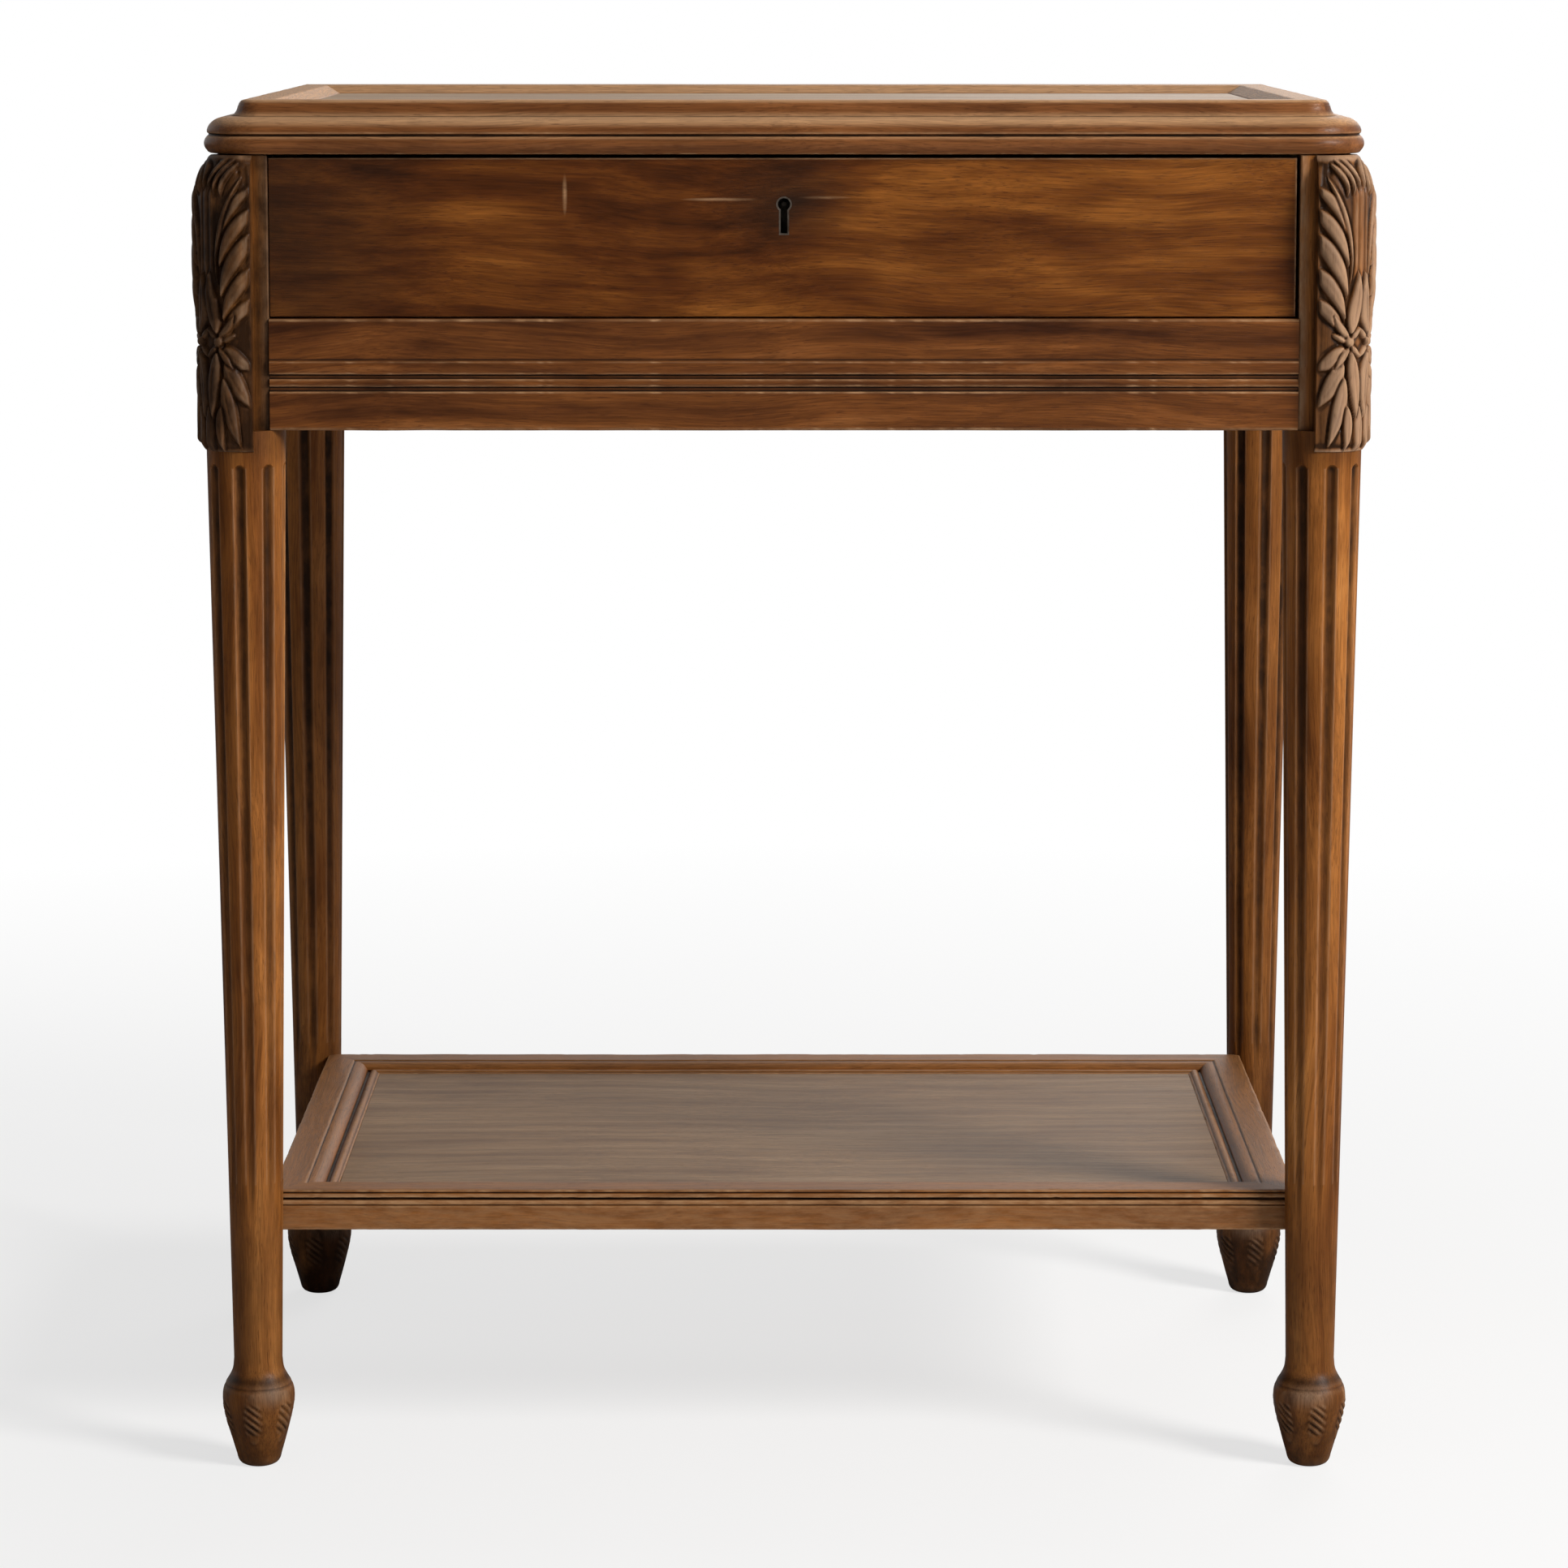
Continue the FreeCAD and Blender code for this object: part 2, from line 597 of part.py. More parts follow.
def lock_bolt():
    """The flat bolt that rises out of the drawer front, notched where the key lifts it."""
    body = box(-BOLT_HALF_WIDE, BOLT_HALF_WIDE, BOLT_FRONT, BOLT_FRONT + BOLT_THICK,
               BOLT_BOTTOM, BOLT_TOP)
    talon = box(-TALON_WIDE / 2, TALON_WIDE / 2, BOLT_FRONT, BOLT_FRONT + BOLT_THICK,
                BOLT_BOTTOM, BOLT_BOTTOM + TALON_HIGH)
    return body.cut(talon)


def keyhole_liner():
    """The thin metal thread that lines the keyhole."""
    deep = FRONT_FACE + ESCUTCHEON_DEEP
    return keyhole(ESCUTCHEON_WALL, FRONT_FACE, deep).cut(keyhole(0, FRONT_FACE, deep))


def bolt_mortise():
    """The pocket in the lid that takes the raised bolt."""
    slack = STRIKE_SLACK
    return box(-BOLT_HALF_WIDE - slack, BOLT_HALF_WIDE + slack,
               BOLT_FRONT - slack, BOLT_FRONT + BOLT_THICK + slack,
               LID_BOTTOM - OVERRUN, BOLT_TOP + BOLT_TRAVEL + slack)


def strike_outline():
    middle = BOLT_FRONT + BOLT_THICK / 2
    return box(-STRIKE_HALF_LONG, STRIKE_HALF_LONG, middle - STRIKE_HALF_WIDE,
               middle + STRIKE_HALF_WIDE, LID_BOTTOM, LID_BOTTOM + STRIKE_THICK)


def strike_screws():
    middle = BOLT_FRONT + BOLT_THICK / 2
    out = (STRIKE_HALF_LONG + BOLT_HALF_WIDE + STRIKE_SLACK) / 2
    return [wood_screw(point(x, middle, LID_BOTTOM), point(0, 0, 1)) for x in (-out, out)]


def strike_plate():
    return strike_outline().cut([bolt_mortise()] + strike_screws())


# Lid

def edge_face(y):
    """The waste outside the lid's edge moulding, as a face square to X with the lid's edge at y."""
    def at(inset, drop):
        return point(0, y + inset, HEIGHT - drop)
    ovolo_end = EDGE_INSET - EDGE_OVOLO
    cove_end = ovolo_end - EDGE_COVE_OUT
    cove_low = EDGE_OVOLO + EDGE_COVE_DROP
    torus_in = cove_end - EDGE_STEP
    torus_out = torus_in - EDGE_TORUS_OUT
    torus_low = cove_low + EDGE_TORUS_DROP
    bead_top = torus_low + EDGE_GROOVE
    bead_low = bead_top + EDGE_BEAD_DROP
    groove_in = torus_out + EDGE_GROOVE_DEPTH
    round_share = 1 - math.sqrt(0.5)
    cove_mid = (ovolo_end + cove_end) / 2 + EDGE_COVE_OUT / 4
    ovolo_mid = at(EDGE_INSET - EDGE_OVOLO * (1 - round_share), EDGE_OVOLO * round_share)
    torus_mid = at(torus_in - EDGE_TORUS_OUT * (1 - round_share),
                   cove_low + EDGE_TORUS_DROP * round_share)
    edges = [
        line(at(EDGE_INSET, -OVERRUN), at(EDGE_INSET, 0)),
        arc(at(EDGE_INSET, 0), ovolo_mid, at(ovolo_end, EDGE_OVOLO)),
        arc(at(ovolo_end, EDGE_OVOLO), at(cove_mid, (EDGE_OVOLO + cove_low) / 2), at(cove_end, cove_low)),
        line(at(cove_end, cove_low), at(torus_in, cove_low)),
        arc(at(torus_in, cove_low), torus_mid, at(torus_out, torus_low)),
        line(at(torus_out, torus_low), at(groove_in, torus_low + EDGE_GROOVE / 2)),
        line(at(groove_in, torus_low + EDGE_GROOVE / 2), at(EDGE_BEAD_BACK, bead_top)),
        arc(at(EDGE_BEAD_BACK, bead_top), at(0, (bead_top + bead_low) / 2), at(EDGE_BEAD_BACK, bead_low)),
        line(at(EDGE_BEAD_BACK, bead_low), at(EDGE_BEAD_BACK, LID_THICK + OVERRUN)),
        line(at(EDGE_BEAD_BACK, LID_THICK + OVERRUN), at(-OVERRUN, LID_THICK + OVERRUN)),
        line(at(-OVERRUN, LID_THICK + OVERRUN), at(-OVERRUN, -OVERRUN)),
        line(at(-OVERRUN, -OVERRUN), at(EDGE_INSET, -OVERRUN)),
    ]
    return Part.Face(Part.Wire(edges))


def lid_blank():
    """The whole lid as one plate with rounded front corners and its moulded edge."""
    x = LID_HALF - LID_CORNER_R
    y = LID_FRONT + LID_CORNER_R
    turn = LID_CORNER_R * math.sqrt(0.5)
    z = LID_BOTTOM
    edges = [
        line(point(-x, LID_FRONT, z), point(x, LID_FRONT, z)),
        arc(point(x, LID_FRONT, z), point(x + turn, y - turn, z), point(LID_HALF, y, z)),
        line(point(LID_HALF, y, z), point(LID_HALF, BACK_FACE, z)),
        line(point(LID_HALF, BACK_FACE, z), point(-LID_HALF, BACK_FACE, z)),
        line(point(-LID_HALF, BACK_FACE, z), point(-LID_HALF, y, z)),
        arc(point(-LID_HALF, y, z), point(-x - turn, y - turn, z), point(-x, LID_FRONT, z)),
    ]
    plate = Part.Face(Part.Wire(edges)).extrude(point(0, 0, LID_THICK))
    face = edge_face(LID_FRONT)
    face.translate(point(x, 0, 0))
    front = face.extrude(point(-x * 2, 0, 0))
    corner = face.revolve(point(x, y, 0), point(0, 0, 1), 90)
    turned = face.copy()
    turned.rotate(point(x, y, 0), point(0, 0, 1), 90)
    side = turned.extrude(point(0, BACK_FACE - y + OVERRUN, 0))
    return plate.cut([front, corner, side, mirror_x(corner), mirror_x(side)])


def lid_hole():
    """What is open inside the lid's frame: a straight hole with a bevelled mouth."""
    x, y = LID_HOLE_X, LID_HOLE_Y
    hole = box(-x, x, -y, y, LID_BOTTOM - OVERRUN, HEIGHT)
    low = [point(-x, -y, LID_PANEL_TOP), point(x, -y, LID_PANEL_TOP),
           point(x, y, LID_PANEL_TOP), point(-x, y, LID_PANEL_TOP)]
    x, y = x + LID_BEVEL, y + LID_BEVEL
    top = [point(-x, -y, HEIGHT), point(x, -y, HEIGHT), point(x, y, HEIGHT), point(-x, y, HEIGHT)]
    wires = [Part.makePolygon(low + low[:1]), Part.makePolygon(top + top[:1])]
    return hole.fuse(Part.makeLoft(wires, True, True))


def lid_tongue():
    """The panel's tongue, and so the groove in the lid's frame that takes it."""
    middle = (LID_PANEL_TOP + LID_PANEL_BOTTOM) / 2
    x, y = LID_HOLE_X + LID_TONGUE, LID_HOLE_Y + LID_TONGUE
    return box(-x, x, -y, y, middle - LID_TONGUE_THICK / 2, middle + LID_TONGUE_THICK / 2)


def lid_panel():
    x, y = LID_HOLE_X - GLUE_GAP, LID_HOLE_Y - GLUE_GAP
    return box(-x, x, -y, y, LID_PANEL_BOTTOM, LID_PANEL_TOP).fuse(lid_tongue()).removeSplitter()


def mitred(outer_x, front, rear, inner_x, inner_y, z0, z1):
    """Four prisms that part a frame along its mitres: front, right, rear and left."""
    corners = [point(-outer_x, front, z0), point(outer_x, front, z0),
               point(outer_x, rear, z0), point(-outer_x, rear, z0)]
    inner = [point(-inner_x, -inner_y, z0), point(inner_x, -inner_y, z0),
             point(inner_x, inner_y, z0), point(-inner_x, inner_y, z0)]
    prisms = []
    for k in range(4):
        after = (k + 1) % 4
        outline = [corners[k], corners[after], inner[after], inner[k]]
        prisms.append(prism(outline, point(0, 0, z1 - z0)))
    return prisms


def lid_rails():
    """The lid's mitred frame: front, right, rear and left rails."""
    frame = lid_blank().cut([lid_hole(), lid_tongue(), bolt_mortise(), strike_outline()]
                            + strike_screws() + lid_leaf_beds() + screws_of_leaf(1))
    parts = mitred(LID_HALF, LID_FRONT, BACK_FACE, LID_HOLE_X, LID_HOLE_Y, LID_BOTTOM, HEIGHT)
    return [frame.common(part) for part in parts]


def mirror_glass():
    x, y = LID_HOLE_X - GLUE_GAP, LID_HOLE_Y - GLUE_GAP
    return box(-x, x, -y, y, MIRROR_FACE, MIRROR_FACE + MIRROR_THICK)


def mirror_backing():
    x, y = LID_HOLE_X - GLUE_GAP, LID_HOLE_Y - GLUE_GAP
    return box(-x, x, -y, y, MIRROR_FACE + MIRROR_THICK, LID_PANEL_BOTTOM)


def mirror_beads():
    """The four mitred strips that hold the mirror up in the lid."""
    x, y = LID_HOLE_X, LID_HOLE_Y
    ix, iy = x - BEAD_WIDE, y - BEAD_WIDE
    slope = BEAD_WIDE / 3
    parts = mitred(x, -y, y, ix, iy, LID_BOTTOM, MIRROR_FACE)
    low = [point(-ix - slope, -iy - slope, LID_BOTTOM), point(ix + slope, -iy - slope, LID_BOTTOM),
           point(ix + slope, iy + slope, LID_BOTTOM), point(-ix - slope, iy + slope, LID_BOTTOM)]
    top = [point(-ix, -iy, MIRROR_FACE), point(ix, -iy, MIRROR_FACE),
           point(ix, iy, MIRROR_FACE), point(-ix, iy, MIRROR_FACE)]
    hollow = Part.makeLoft([Part.makePolygon(low + low[:1]), Part.makePolygon(top + top[:1])], True, True)
    return [part.cut(hollow) for part in parts]


# Hinges, first about X = 0, then moved to their places

def leaf_plate(z0, y1):
    half = HINGE_LONG / 2
    return box(-half, half, BACK_FACE - LEAF_WIDE, y1, z0, z0 + LEAF_THICK)


def knuckle(x0, x1):
    return Part.makeCylinder(KNUCKLE_R, x1 - x0, point(x0, PIVOT_Y, PIVOT_Z), point(1, 0, 0))


def hinge_bore():
    start = point(-HINGE_LONG / 2 - OVERRUN, PIVOT_Y, PIVOT_Z)
    return Part.makeCylinder(PIN_R + PIN_SLACK, HINGE_LONG + OVERRUN * 2, start, point(1, 0, 0))


def leaf_screws(z, way):
    """Three countersunk screws through a leaf, standing on the leaf's open face."""
    y = BACK_FACE - LEAF_WIDE / 2
    return [wood_screw(point(k * SCREW_PITCH, y, z), point(0, 0, way)) for k in (-1, 0, 1)]


def case_leaf():
    """The leaf on the back rail, with two outer knuckles and the tabs that stop the lid."""
    half = HINGE_LONG / 2
    inner = KNUCKLE_LONG / 2 + KNUCKLE_END_GAP
    body = leaf_plate(CASE_TOP - LEAF_THICK, BACK_FACE)
    pieces = []
    for x0, x1 in ((-half, -inner), (inner, half)):
        pieces.append(knuckle(x0, x1))
        pieces.append(box(x0, x1, BACK_FACE, PIVOT_Y, CASE_TOP - LEAF_THICK, CASE_TOP))
        face = BACK_FACE + STOP_PLATE + STOP_GAP
        tab = box(x0, x1, face, face + STOP_TAB, PIVOT_Z, PIVOT_Z + STOP_TALL)
        tab.rotate(point(0, PIVOT_Y, PIVOT_Z), point(1, 0, 0), -STOP_ANGLE)
        pieces.append(tab)
    return body.fuse(pieces).cut([hinge_bore()] + leaf_screws(CASE_TOP, -1))


def lid_leaf():
    """The leaf under the lid, with the middle knuckle and an upstand behind the lid."""
    half = HINGE_LONG / 2
    inner = KNUCKLE_LONG / 2
    body = leaf_plate(LID_BOTTOM, BACK_FACE)
    neck = box(-inner, inner, BACK_FACE, PIVOT_Y, LID_BOTTOM, LID_BOTTOM + LEAF_THICK)
    web = box(-inner, inner, BACK_FACE, BACK_FACE + STOP_PLATE, LID_BOTTOM, PIVOT_Z + STOP_TALL)
    clear = PIVOT_Z + KNUCKLE_R + KNUCKLE_END_GAP
    upstand = box(-half, half, BACK_FACE, BACK_FACE + STOP_PLATE, clear, PIVOT_Z + STOP_TALL)
    pieces = [knuckle(-inner, inner), neck, web, upstand]
    return body.fuse(pieces).cut([hinge_bore()] + leaf_screws(LID_BOTTOM, 1))


def hinge_pin():
    start = point(-HINGE_LONG / 2, PIVOT_Y, PIVOT_Z)
    return Part.makeCylinder(PIN_R, HINGE_LONG, start, point(1, 0, 0))


def at_both_hinges(shapes):
    """Copies of some shapes at the left hinge and at the right one."""
    copies = []
    for side in (-1, 1):
        for shape in shapes:
            copy = shape.copy()
            copy.translate(point(side * HINGE_X, 0, 0))
            copies.append(copy)
    return copies


def screws_of_leaf(way):
    z = LID_BOTTOM if way > 0 else CASE_TOP
    return at_both_hinges(leaf_screws(z, way))


def lid_leaf_beds():
    return at_both_hinges([leaf_plate(LID_BOTTOM, BACK_FACE)])


def case_leaf_beds():
    return at_both_hinges([leaf_plate(CASE_TOP - LEAF_THICK, BACK_FACE)])


# Shelf

def shelf_blank():
    """The shelf's frame as one ring: edge lip, top moulding and panel groove."""
    x, y = SHELF_HALF_X, SHELF_HALF_Y
    ring = box(-x, x, -y, y, SHELF_BOTTOM, SHELF_TOP)
    x, y = SHELF_HOLE_X, SHELF_HOLE_Y
    hole = box(-x, x, -y, y, SHELF_BOTTOM - OVERRUN, SHELF_TOP + OVERRUN)
    x, y = x + SHELF_MOULD_WIDE, y + SHELF_MOULD_WIDE
    step = box(-x, x, -y, y, SHELF_TOP - SHELF_MOULD_DROP, SHELF_TOP + OVERRUN)
    x, y = SHELF_HALF_X, SHELF_HALF_Y
    low = SHELF_TOP - SHELF_EDGE_LIP - SHELF_EDGE_QUIRK
    band = box(-x, x, -y, y, low, low + SHELF_EDGE_QUIRK)
    x, y = x - SHELF_EDGE_REBATE, y - SHELF_EDGE_REBATE
    quirk = band.cut(box(-x, x, -y, y, low - OVERRUN, low + OVERRUN))
    return ring.cut([hole, step, quirk])


def shelf_tongue():
    x, y = SHELF_HOLE_X + SHELF_TONGUE, SHELF_HOLE_Y + SHELF_TONGUE
    middle = SHELF_PANEL_TOP - SHELF_PANEL_THICK / 2
    return box(-x, x, -y, y, middle - SHELF_TONGUE_THICK / 2, middle + SHELF_TONGUE_THICK / 2)


def shelf_panel():
    x, y = SHELF_HOLE_X - GLUE_GAP, SHELF_HOLE_Y - GLUE_GAP
    board = box(-x, x, -y, y, SHELF_PANEL_TOP - SHELF_PANEL_THICK, SHELF_PANEL_TOP)
    return board.fuse(shelf_tongue()).removeSplitter()


def leg_cope(side, depth):
    """The hollow that a leg's shaft leaves in the corner of the shelf."""
    low = SHELF_BOTTOM - OVERRUN
    high = SHELF_TOP + OVERRUN
    return Part.makeCone(shaft_radius(low) + SHELF_COPE_GAP, shaft_radius(high) + SHELF_COPE_GAP,
                         high - low, point(side * LEG_X, depth * LEG_Y, low))


def shelf_dowel(side, depth):
    """The dowel that runs from inside a leg into the mitred corner of the shelf."""
    way = point(-side, -depth, 0).normalize()
    axis = point(side * LEG_X, depth * LEG_Y, (SHELF_BOTTOM + SHELF_PANEL_TOP - SHELF_PANEL_THICK) / 2)
    start = axis - way * DOWEL_IN_LEG
    return Part.makeCylinder(DOWEL_R, DOWEL_IN_LEG + DOWEL_IN_SHELF, start, way)


CORNERS = {
    "front_left": (-1, -1),
    "front_right": (1, -1),
    "rear_left": (-1, 1),
    "rear_right": (1, 1),
}


def shelf_rails():
    """The shelf's mitred frame: front, right, rear and left rails."""
    copes = [leg_cope(*corner) for corner in CORNERS.values()]
    dowels = [shelf_dowel(*corner) for corner in CORNERS.values()]
    ring = shelf_blank().cut(copes + dowels + [shelf_tongue()])
    x, y = SHELF_HALF_X, SHELF_HALF_Y
    parts = mitred(x, -y, y, SHELF_HOLE_X, SHELF_HOLE_Y, SHELF_BOTTOM, SHELF_TOP)
    return [ring.common(part) for part in parts]


# Write every piece to its own file

os.makedirs("parts", exist_ok=True)

rails = {
    "front_rail": front_rail(),
    "back_rail": back_rail(),
    "side_rail_right": side_rail(),
    "side_rail_left": mirror_x(side_rail()),
}
for name, (side, depth) in CORNERS.items():
    body = leg(side, depth).cut(list(rails.values()) + [shelf_dowel(side, depth)])
    save("leg_" + name, body)

rails["back_rail"] = rails["back_rail"].cut(case_leaf_beds() + screws_of_leaf(-1))
for name, shape in rails.items():
    save(name, shape)

for name, shape in (("runner", drawer_runner()), ("guide", drawer_guide()), ("kicker", drawer_kicker())):
    save("drawer_" + name + "_right", shape)
    save("drawer_" + name + "_left", mirror_x(shape))
save("drawer_stops", drawer_stops())

left_side, right_side = drawer_sides()
save("drawer_front", drawer_front())
save("drawer_front_veneer", drawer_veneer())
save("drawer_side_left", left_side)
save("drawer_side_right", right_side)
save("drawer_back", drawer_back())
save("drawer_bottom", drawer_bottom())
save("drawer_bottom_screws", group(floor_screws()))
save("keyhole_liner", keyhole_liner())
save("lock_case", lock_case())
save("lock_bolt", lock_bolt())
save("lock_screws", group(screws_of_lock()))

for name, shape in zip(("front", "right", "rear", "left"), lid_rails()):
    save("lid_" + name + "_rail", shape)
save("lid_panel", lid_panel())
save("mirror_backing", mirror_backing())
save("mirror_glass", mirror_glass())
for name, shape in zip(("front", "right", "rear", "left"), mirror_beads()):
    save("mirror_bead_" + name, shape)
save("strike_plate", strike_plate())
save("strike_screws", group(strike_screws()))

for name, shape in (("case_leaf", case_leaf()), ("lid_leaf", lid_leaf()), ("pin", hinge_pin())):
    left_one, right_one = at_both_hinges([shape])
    save("hinge_" + name + "_left", left_one)
    save("hinge_" + name + "_right", right_one)
save("hinge_case_screws", group(screws_of_leaf(-1)))
save("hinge_lid_screws", group(screws_of_leaf(1)))

for name, shape in zip(("front", "right", "rear", "left"), shelf_rails()):
    save("shelf_" + name + "_rail", shape)
save("shelf_panel", shelf_panel())
save("shelf_dowels", group([shelf_dowel(*corner) for corner in CORNERS.values()]))
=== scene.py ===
"""A small walnut dressing table: carved corner posts on fluted legs, a figured drawer front, a
moulded lid with a sunk panel and a mirror under it, and a low shelf. Lengths are in
millimetres until a mesh is made, and X is right, Y back and Z up."""

import math

import bpy
import numpy as np
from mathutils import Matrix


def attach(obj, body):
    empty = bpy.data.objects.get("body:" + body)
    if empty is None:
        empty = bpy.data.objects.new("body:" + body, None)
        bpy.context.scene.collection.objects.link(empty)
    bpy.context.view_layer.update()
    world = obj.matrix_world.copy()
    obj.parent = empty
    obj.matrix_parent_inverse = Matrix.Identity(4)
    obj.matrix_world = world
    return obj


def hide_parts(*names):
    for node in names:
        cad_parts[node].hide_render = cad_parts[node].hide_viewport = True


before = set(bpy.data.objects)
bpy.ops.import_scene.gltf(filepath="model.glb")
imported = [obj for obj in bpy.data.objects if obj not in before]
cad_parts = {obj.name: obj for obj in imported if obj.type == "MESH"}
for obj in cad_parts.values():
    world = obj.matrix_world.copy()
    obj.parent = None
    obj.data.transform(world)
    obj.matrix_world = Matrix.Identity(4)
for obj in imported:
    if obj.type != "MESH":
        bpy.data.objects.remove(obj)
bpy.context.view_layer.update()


# The studio: a plain pale floor in a white world, a soft lamp high on the right, a weak one on
# the left and one behind, and the camera where the photograph was taken from. None of it is
# part of the table.
CAMERA_AT = (0.0, -2.876, 0.8193)
CAMERA_DOWN = 7.12
CAMERA_LENS = 115.14
CAMERA_SHIFT = -0.12
FLOOR_HALF = 9.0
WHITE = (1.0, 1.0, 1.0, 1.0)


def add(tree, kind, sockets=None, **settings):
    """One shader node with its settings, its fixed sockets and its links."""
    made = tree.nodes.new(kind)
    for key, value in settings.items():
        setattr(made, key, value)
    for key, value in (sockets or {}).items():
        if isinstance(value, bpy.types.NodeSocket):
            tree.links.new(value, made.inputs[key])
        else:
            made.inputs[key].default_value = value
    return made


def maths(tree, operation, first, second, clamp=False):
    """The number that one arithmetic node gives."""
    made = add(tree, "ShaderNodeMath", {0: first, 1: second}, operation=operation, use_clamp=clamp)
    return made.outputs[0]


def plus(tree, first, second, share):
    """first + share * second."""
    return maths(tree, "ADD", first, maths(tree, "MULTIPLY", second, share))


def vectors(tree, operation, first, second=(0.0, 0.0, 0.0)):
    """What one vector node gives: a number for LENGTH, and otherwise a vector."""
    made = add(tree, "ShaderNodeVectorMath", {0: first, 1: second}, operation=operation)
    return made.outputs["Value" if operation == "LENGTH" else "Vector"]


def remapped(tree, value, start, end, low, high):
    """low where the value is start or less, high where it is end or more, and even between."""
    made = add(tree, "ShaderNodeMapRange", {"Value": value, "From Min": start, "From Max": end,
                                            "To Min": low, "To Max": high})
    return made.outputs[0]


def mixed(tree, factor, first, second, blend="MIX"):
    """The first colour drawn to the second, or blended with it, by the factor."""
    made = tree.nodes.new("ShaderNodeMix")
    made.data_type, made.blend_type = "RGBA", blend
    for index, value in ((0, factor), (6, first), (7, second)):
        if isinstance(value, bpy.types.NodeSocket):
            tree.links.new(value, made.inputs[index])
        elif index == 0:
            made.inputs[0].default_value = value
        else:
            made.inputs[index].default_value = (*value, 1.0)
    return made.outputs[2]


def grey(level):
    """A neutral colour."""
    return (level, level, level)


def bare_material(name):
    """A material whose node tree is still empty, and that tree."""
    made = bpy.data.materials.new(name)
    made.use_nodes = True
    made.node_tree.nodes.clear()
    return made, made.node_tree


def surroundings(tree, light, room, wall):
    """How bright the world is: 1 for the camera, light for the light it gives, and for a gloss or
    a mirror a pale wall behind the table that darkens to a dim room in front of it."""
    rays = add(tree, "ShaderNodeLightPath")
    way = add(tree, "ShaderNodeTexCoord").outputs["Generated"]
    back = add(tree, "ShaderNodeSeparateXYZ", {0: way}).outputs["Y"]
    mirrored = maths(tree, "MULTIPLY", remapped(tree, back, -0.3, 0.4, room, wall),
                     rays.outputs["Is Glossy Ray"])
    seen = maths(tree, "MAXIMUM", rays.outputs["Is Camera Ray"],
                 rays.outputs["Is Transmission Ray"])
    return maths(tree, "MAXIMUM", maths(tree, "MAXIMUM", seen, mirrored), light)


def soft_lamp(name, at, towards, size, power, colour=(1.0, 1.0, 1.0)):
    """A disc of light at one place, turned to face another."""
    lamp = bpy.data.lights.new(name, "AREA")
    lamp.shape, lamp.size, lamp.energy, lamp.color = "DISK", size, power, colour
    holder = bpy.data.objects.new(name, lamp)
    holder.location = at
    back = np.array(at) - np.array(towards)
    flat = math.hypot(back[0], back[1])
    holder.rotation_euler = (math.atan2(flat, back[2]), 0.0, math.atan2(back[0], -back[1]))
    bpy.context.scene.collection.objects.link(holder)


camera = bpy.data.objects.new("camera", bpy.data.cameras.new("camera"))
camera.data.lens = CAMERA_LENS
camera.data.shift_y = CAMERA_SHIFT
camera.data.clip_end = 50.0
camera.location = CAMERA_AT
camera.rotation_euler = (math.radians(90.0 - CAMERA_DOWN), 0.0, 0.0)
bpy.context.scene.collection.objects.link(camera)
bpy.context.scene.camera = camera
bpy.context.scene.view_settings.view_transform = "Standard"

soft_lamp("lamp_right", at=(2.6, -1.9, 2.1), towards=(0.0, 0.0, 0.42), size=1.2, power=150.0,
          colour=(1.0, 0.98, 0.95))
soft_lamp("lamp_left", at=(-2.2, -2.6, 1.2), towards=(0.0, 0.0, 0.4), size=1.8, power=4.0)
soft_lamp("lamp_back", at=(0.9, 2.6, 1.8), towards=(0.0, 0.0, 0.5), size=1.8, power=24.0)

world = bpy.data.worlds.new("studio")
bpy.context.scene.world = world
world.use_nodes = True
world.node_tree.nodes.clear()
brightness = surroundings(world.node_tree, light=0.12, room=0.10, wall=0.9)
sky = add(world.node_tree, "ShaderNodeBackground", {"Color": WHITE, "Strength": brightness})
add(world.node_tree, "ShaderNodeOutputWorld", {"Surface": sky.outputs[0]})

# For the camera the floor glows white, a little less near the table, where its shadow shows.
floor_paint, paint_tree = bare_material("floor_paint")
floor_path = add(paint_tree, "ShaderNodeLightPath")
floor_tone = mixed(paint_tree, floor_path.outputs["Is Glossy Ray"], grey(0.86), grey(0.30))
floor_matt = add(paint_tree, "ShaderNodeBsdfDiffuse", {"Color": floor_tone})
floor_glow = add(paint_tree, "ShaderNodeEmission", {"Color": WHITE, "Strength": 1.0})
floor_place = add(paint_tree, "ShaderNodeTexCoord").outputs["Object"]
floor_far = remapped(paint_tree, vectors(paint_tree, "LENGTH", floor_place), 0.5, 1.8, 0.7, 1.0)
floor_share = maths(paint_tree, "MULTIPLY", floor_path.outputs["Is Camera Ray"], floor_far)
floor_mix = add(paint_tree, "ShaderNodeMixShader",
                {0: floor_share, 1: floor_matt.outputs[0], 2: floor_glow.outputs[0]})
add(paint_tree, "ShaderNodeOutputMaterial", {"Surface": floor_mix.outputs[0]})
floor_corners = FLOOR_HALF * np.array([(-1, -1, 0), (1, -1, 0), (1, 1, 0), (-1, 1, 0)])
floor_mesh = bpy.data.meshes.new("floor")
floor_mesh.from_pydata(floor_corners, [], [(0, 1, 2, 3)])
floor_mesh.materials.append(floor_paint)
floor = bpy.data.objects.new("floor", floor_mesh)
bpy.context.scene.collection.objects.link(floor)


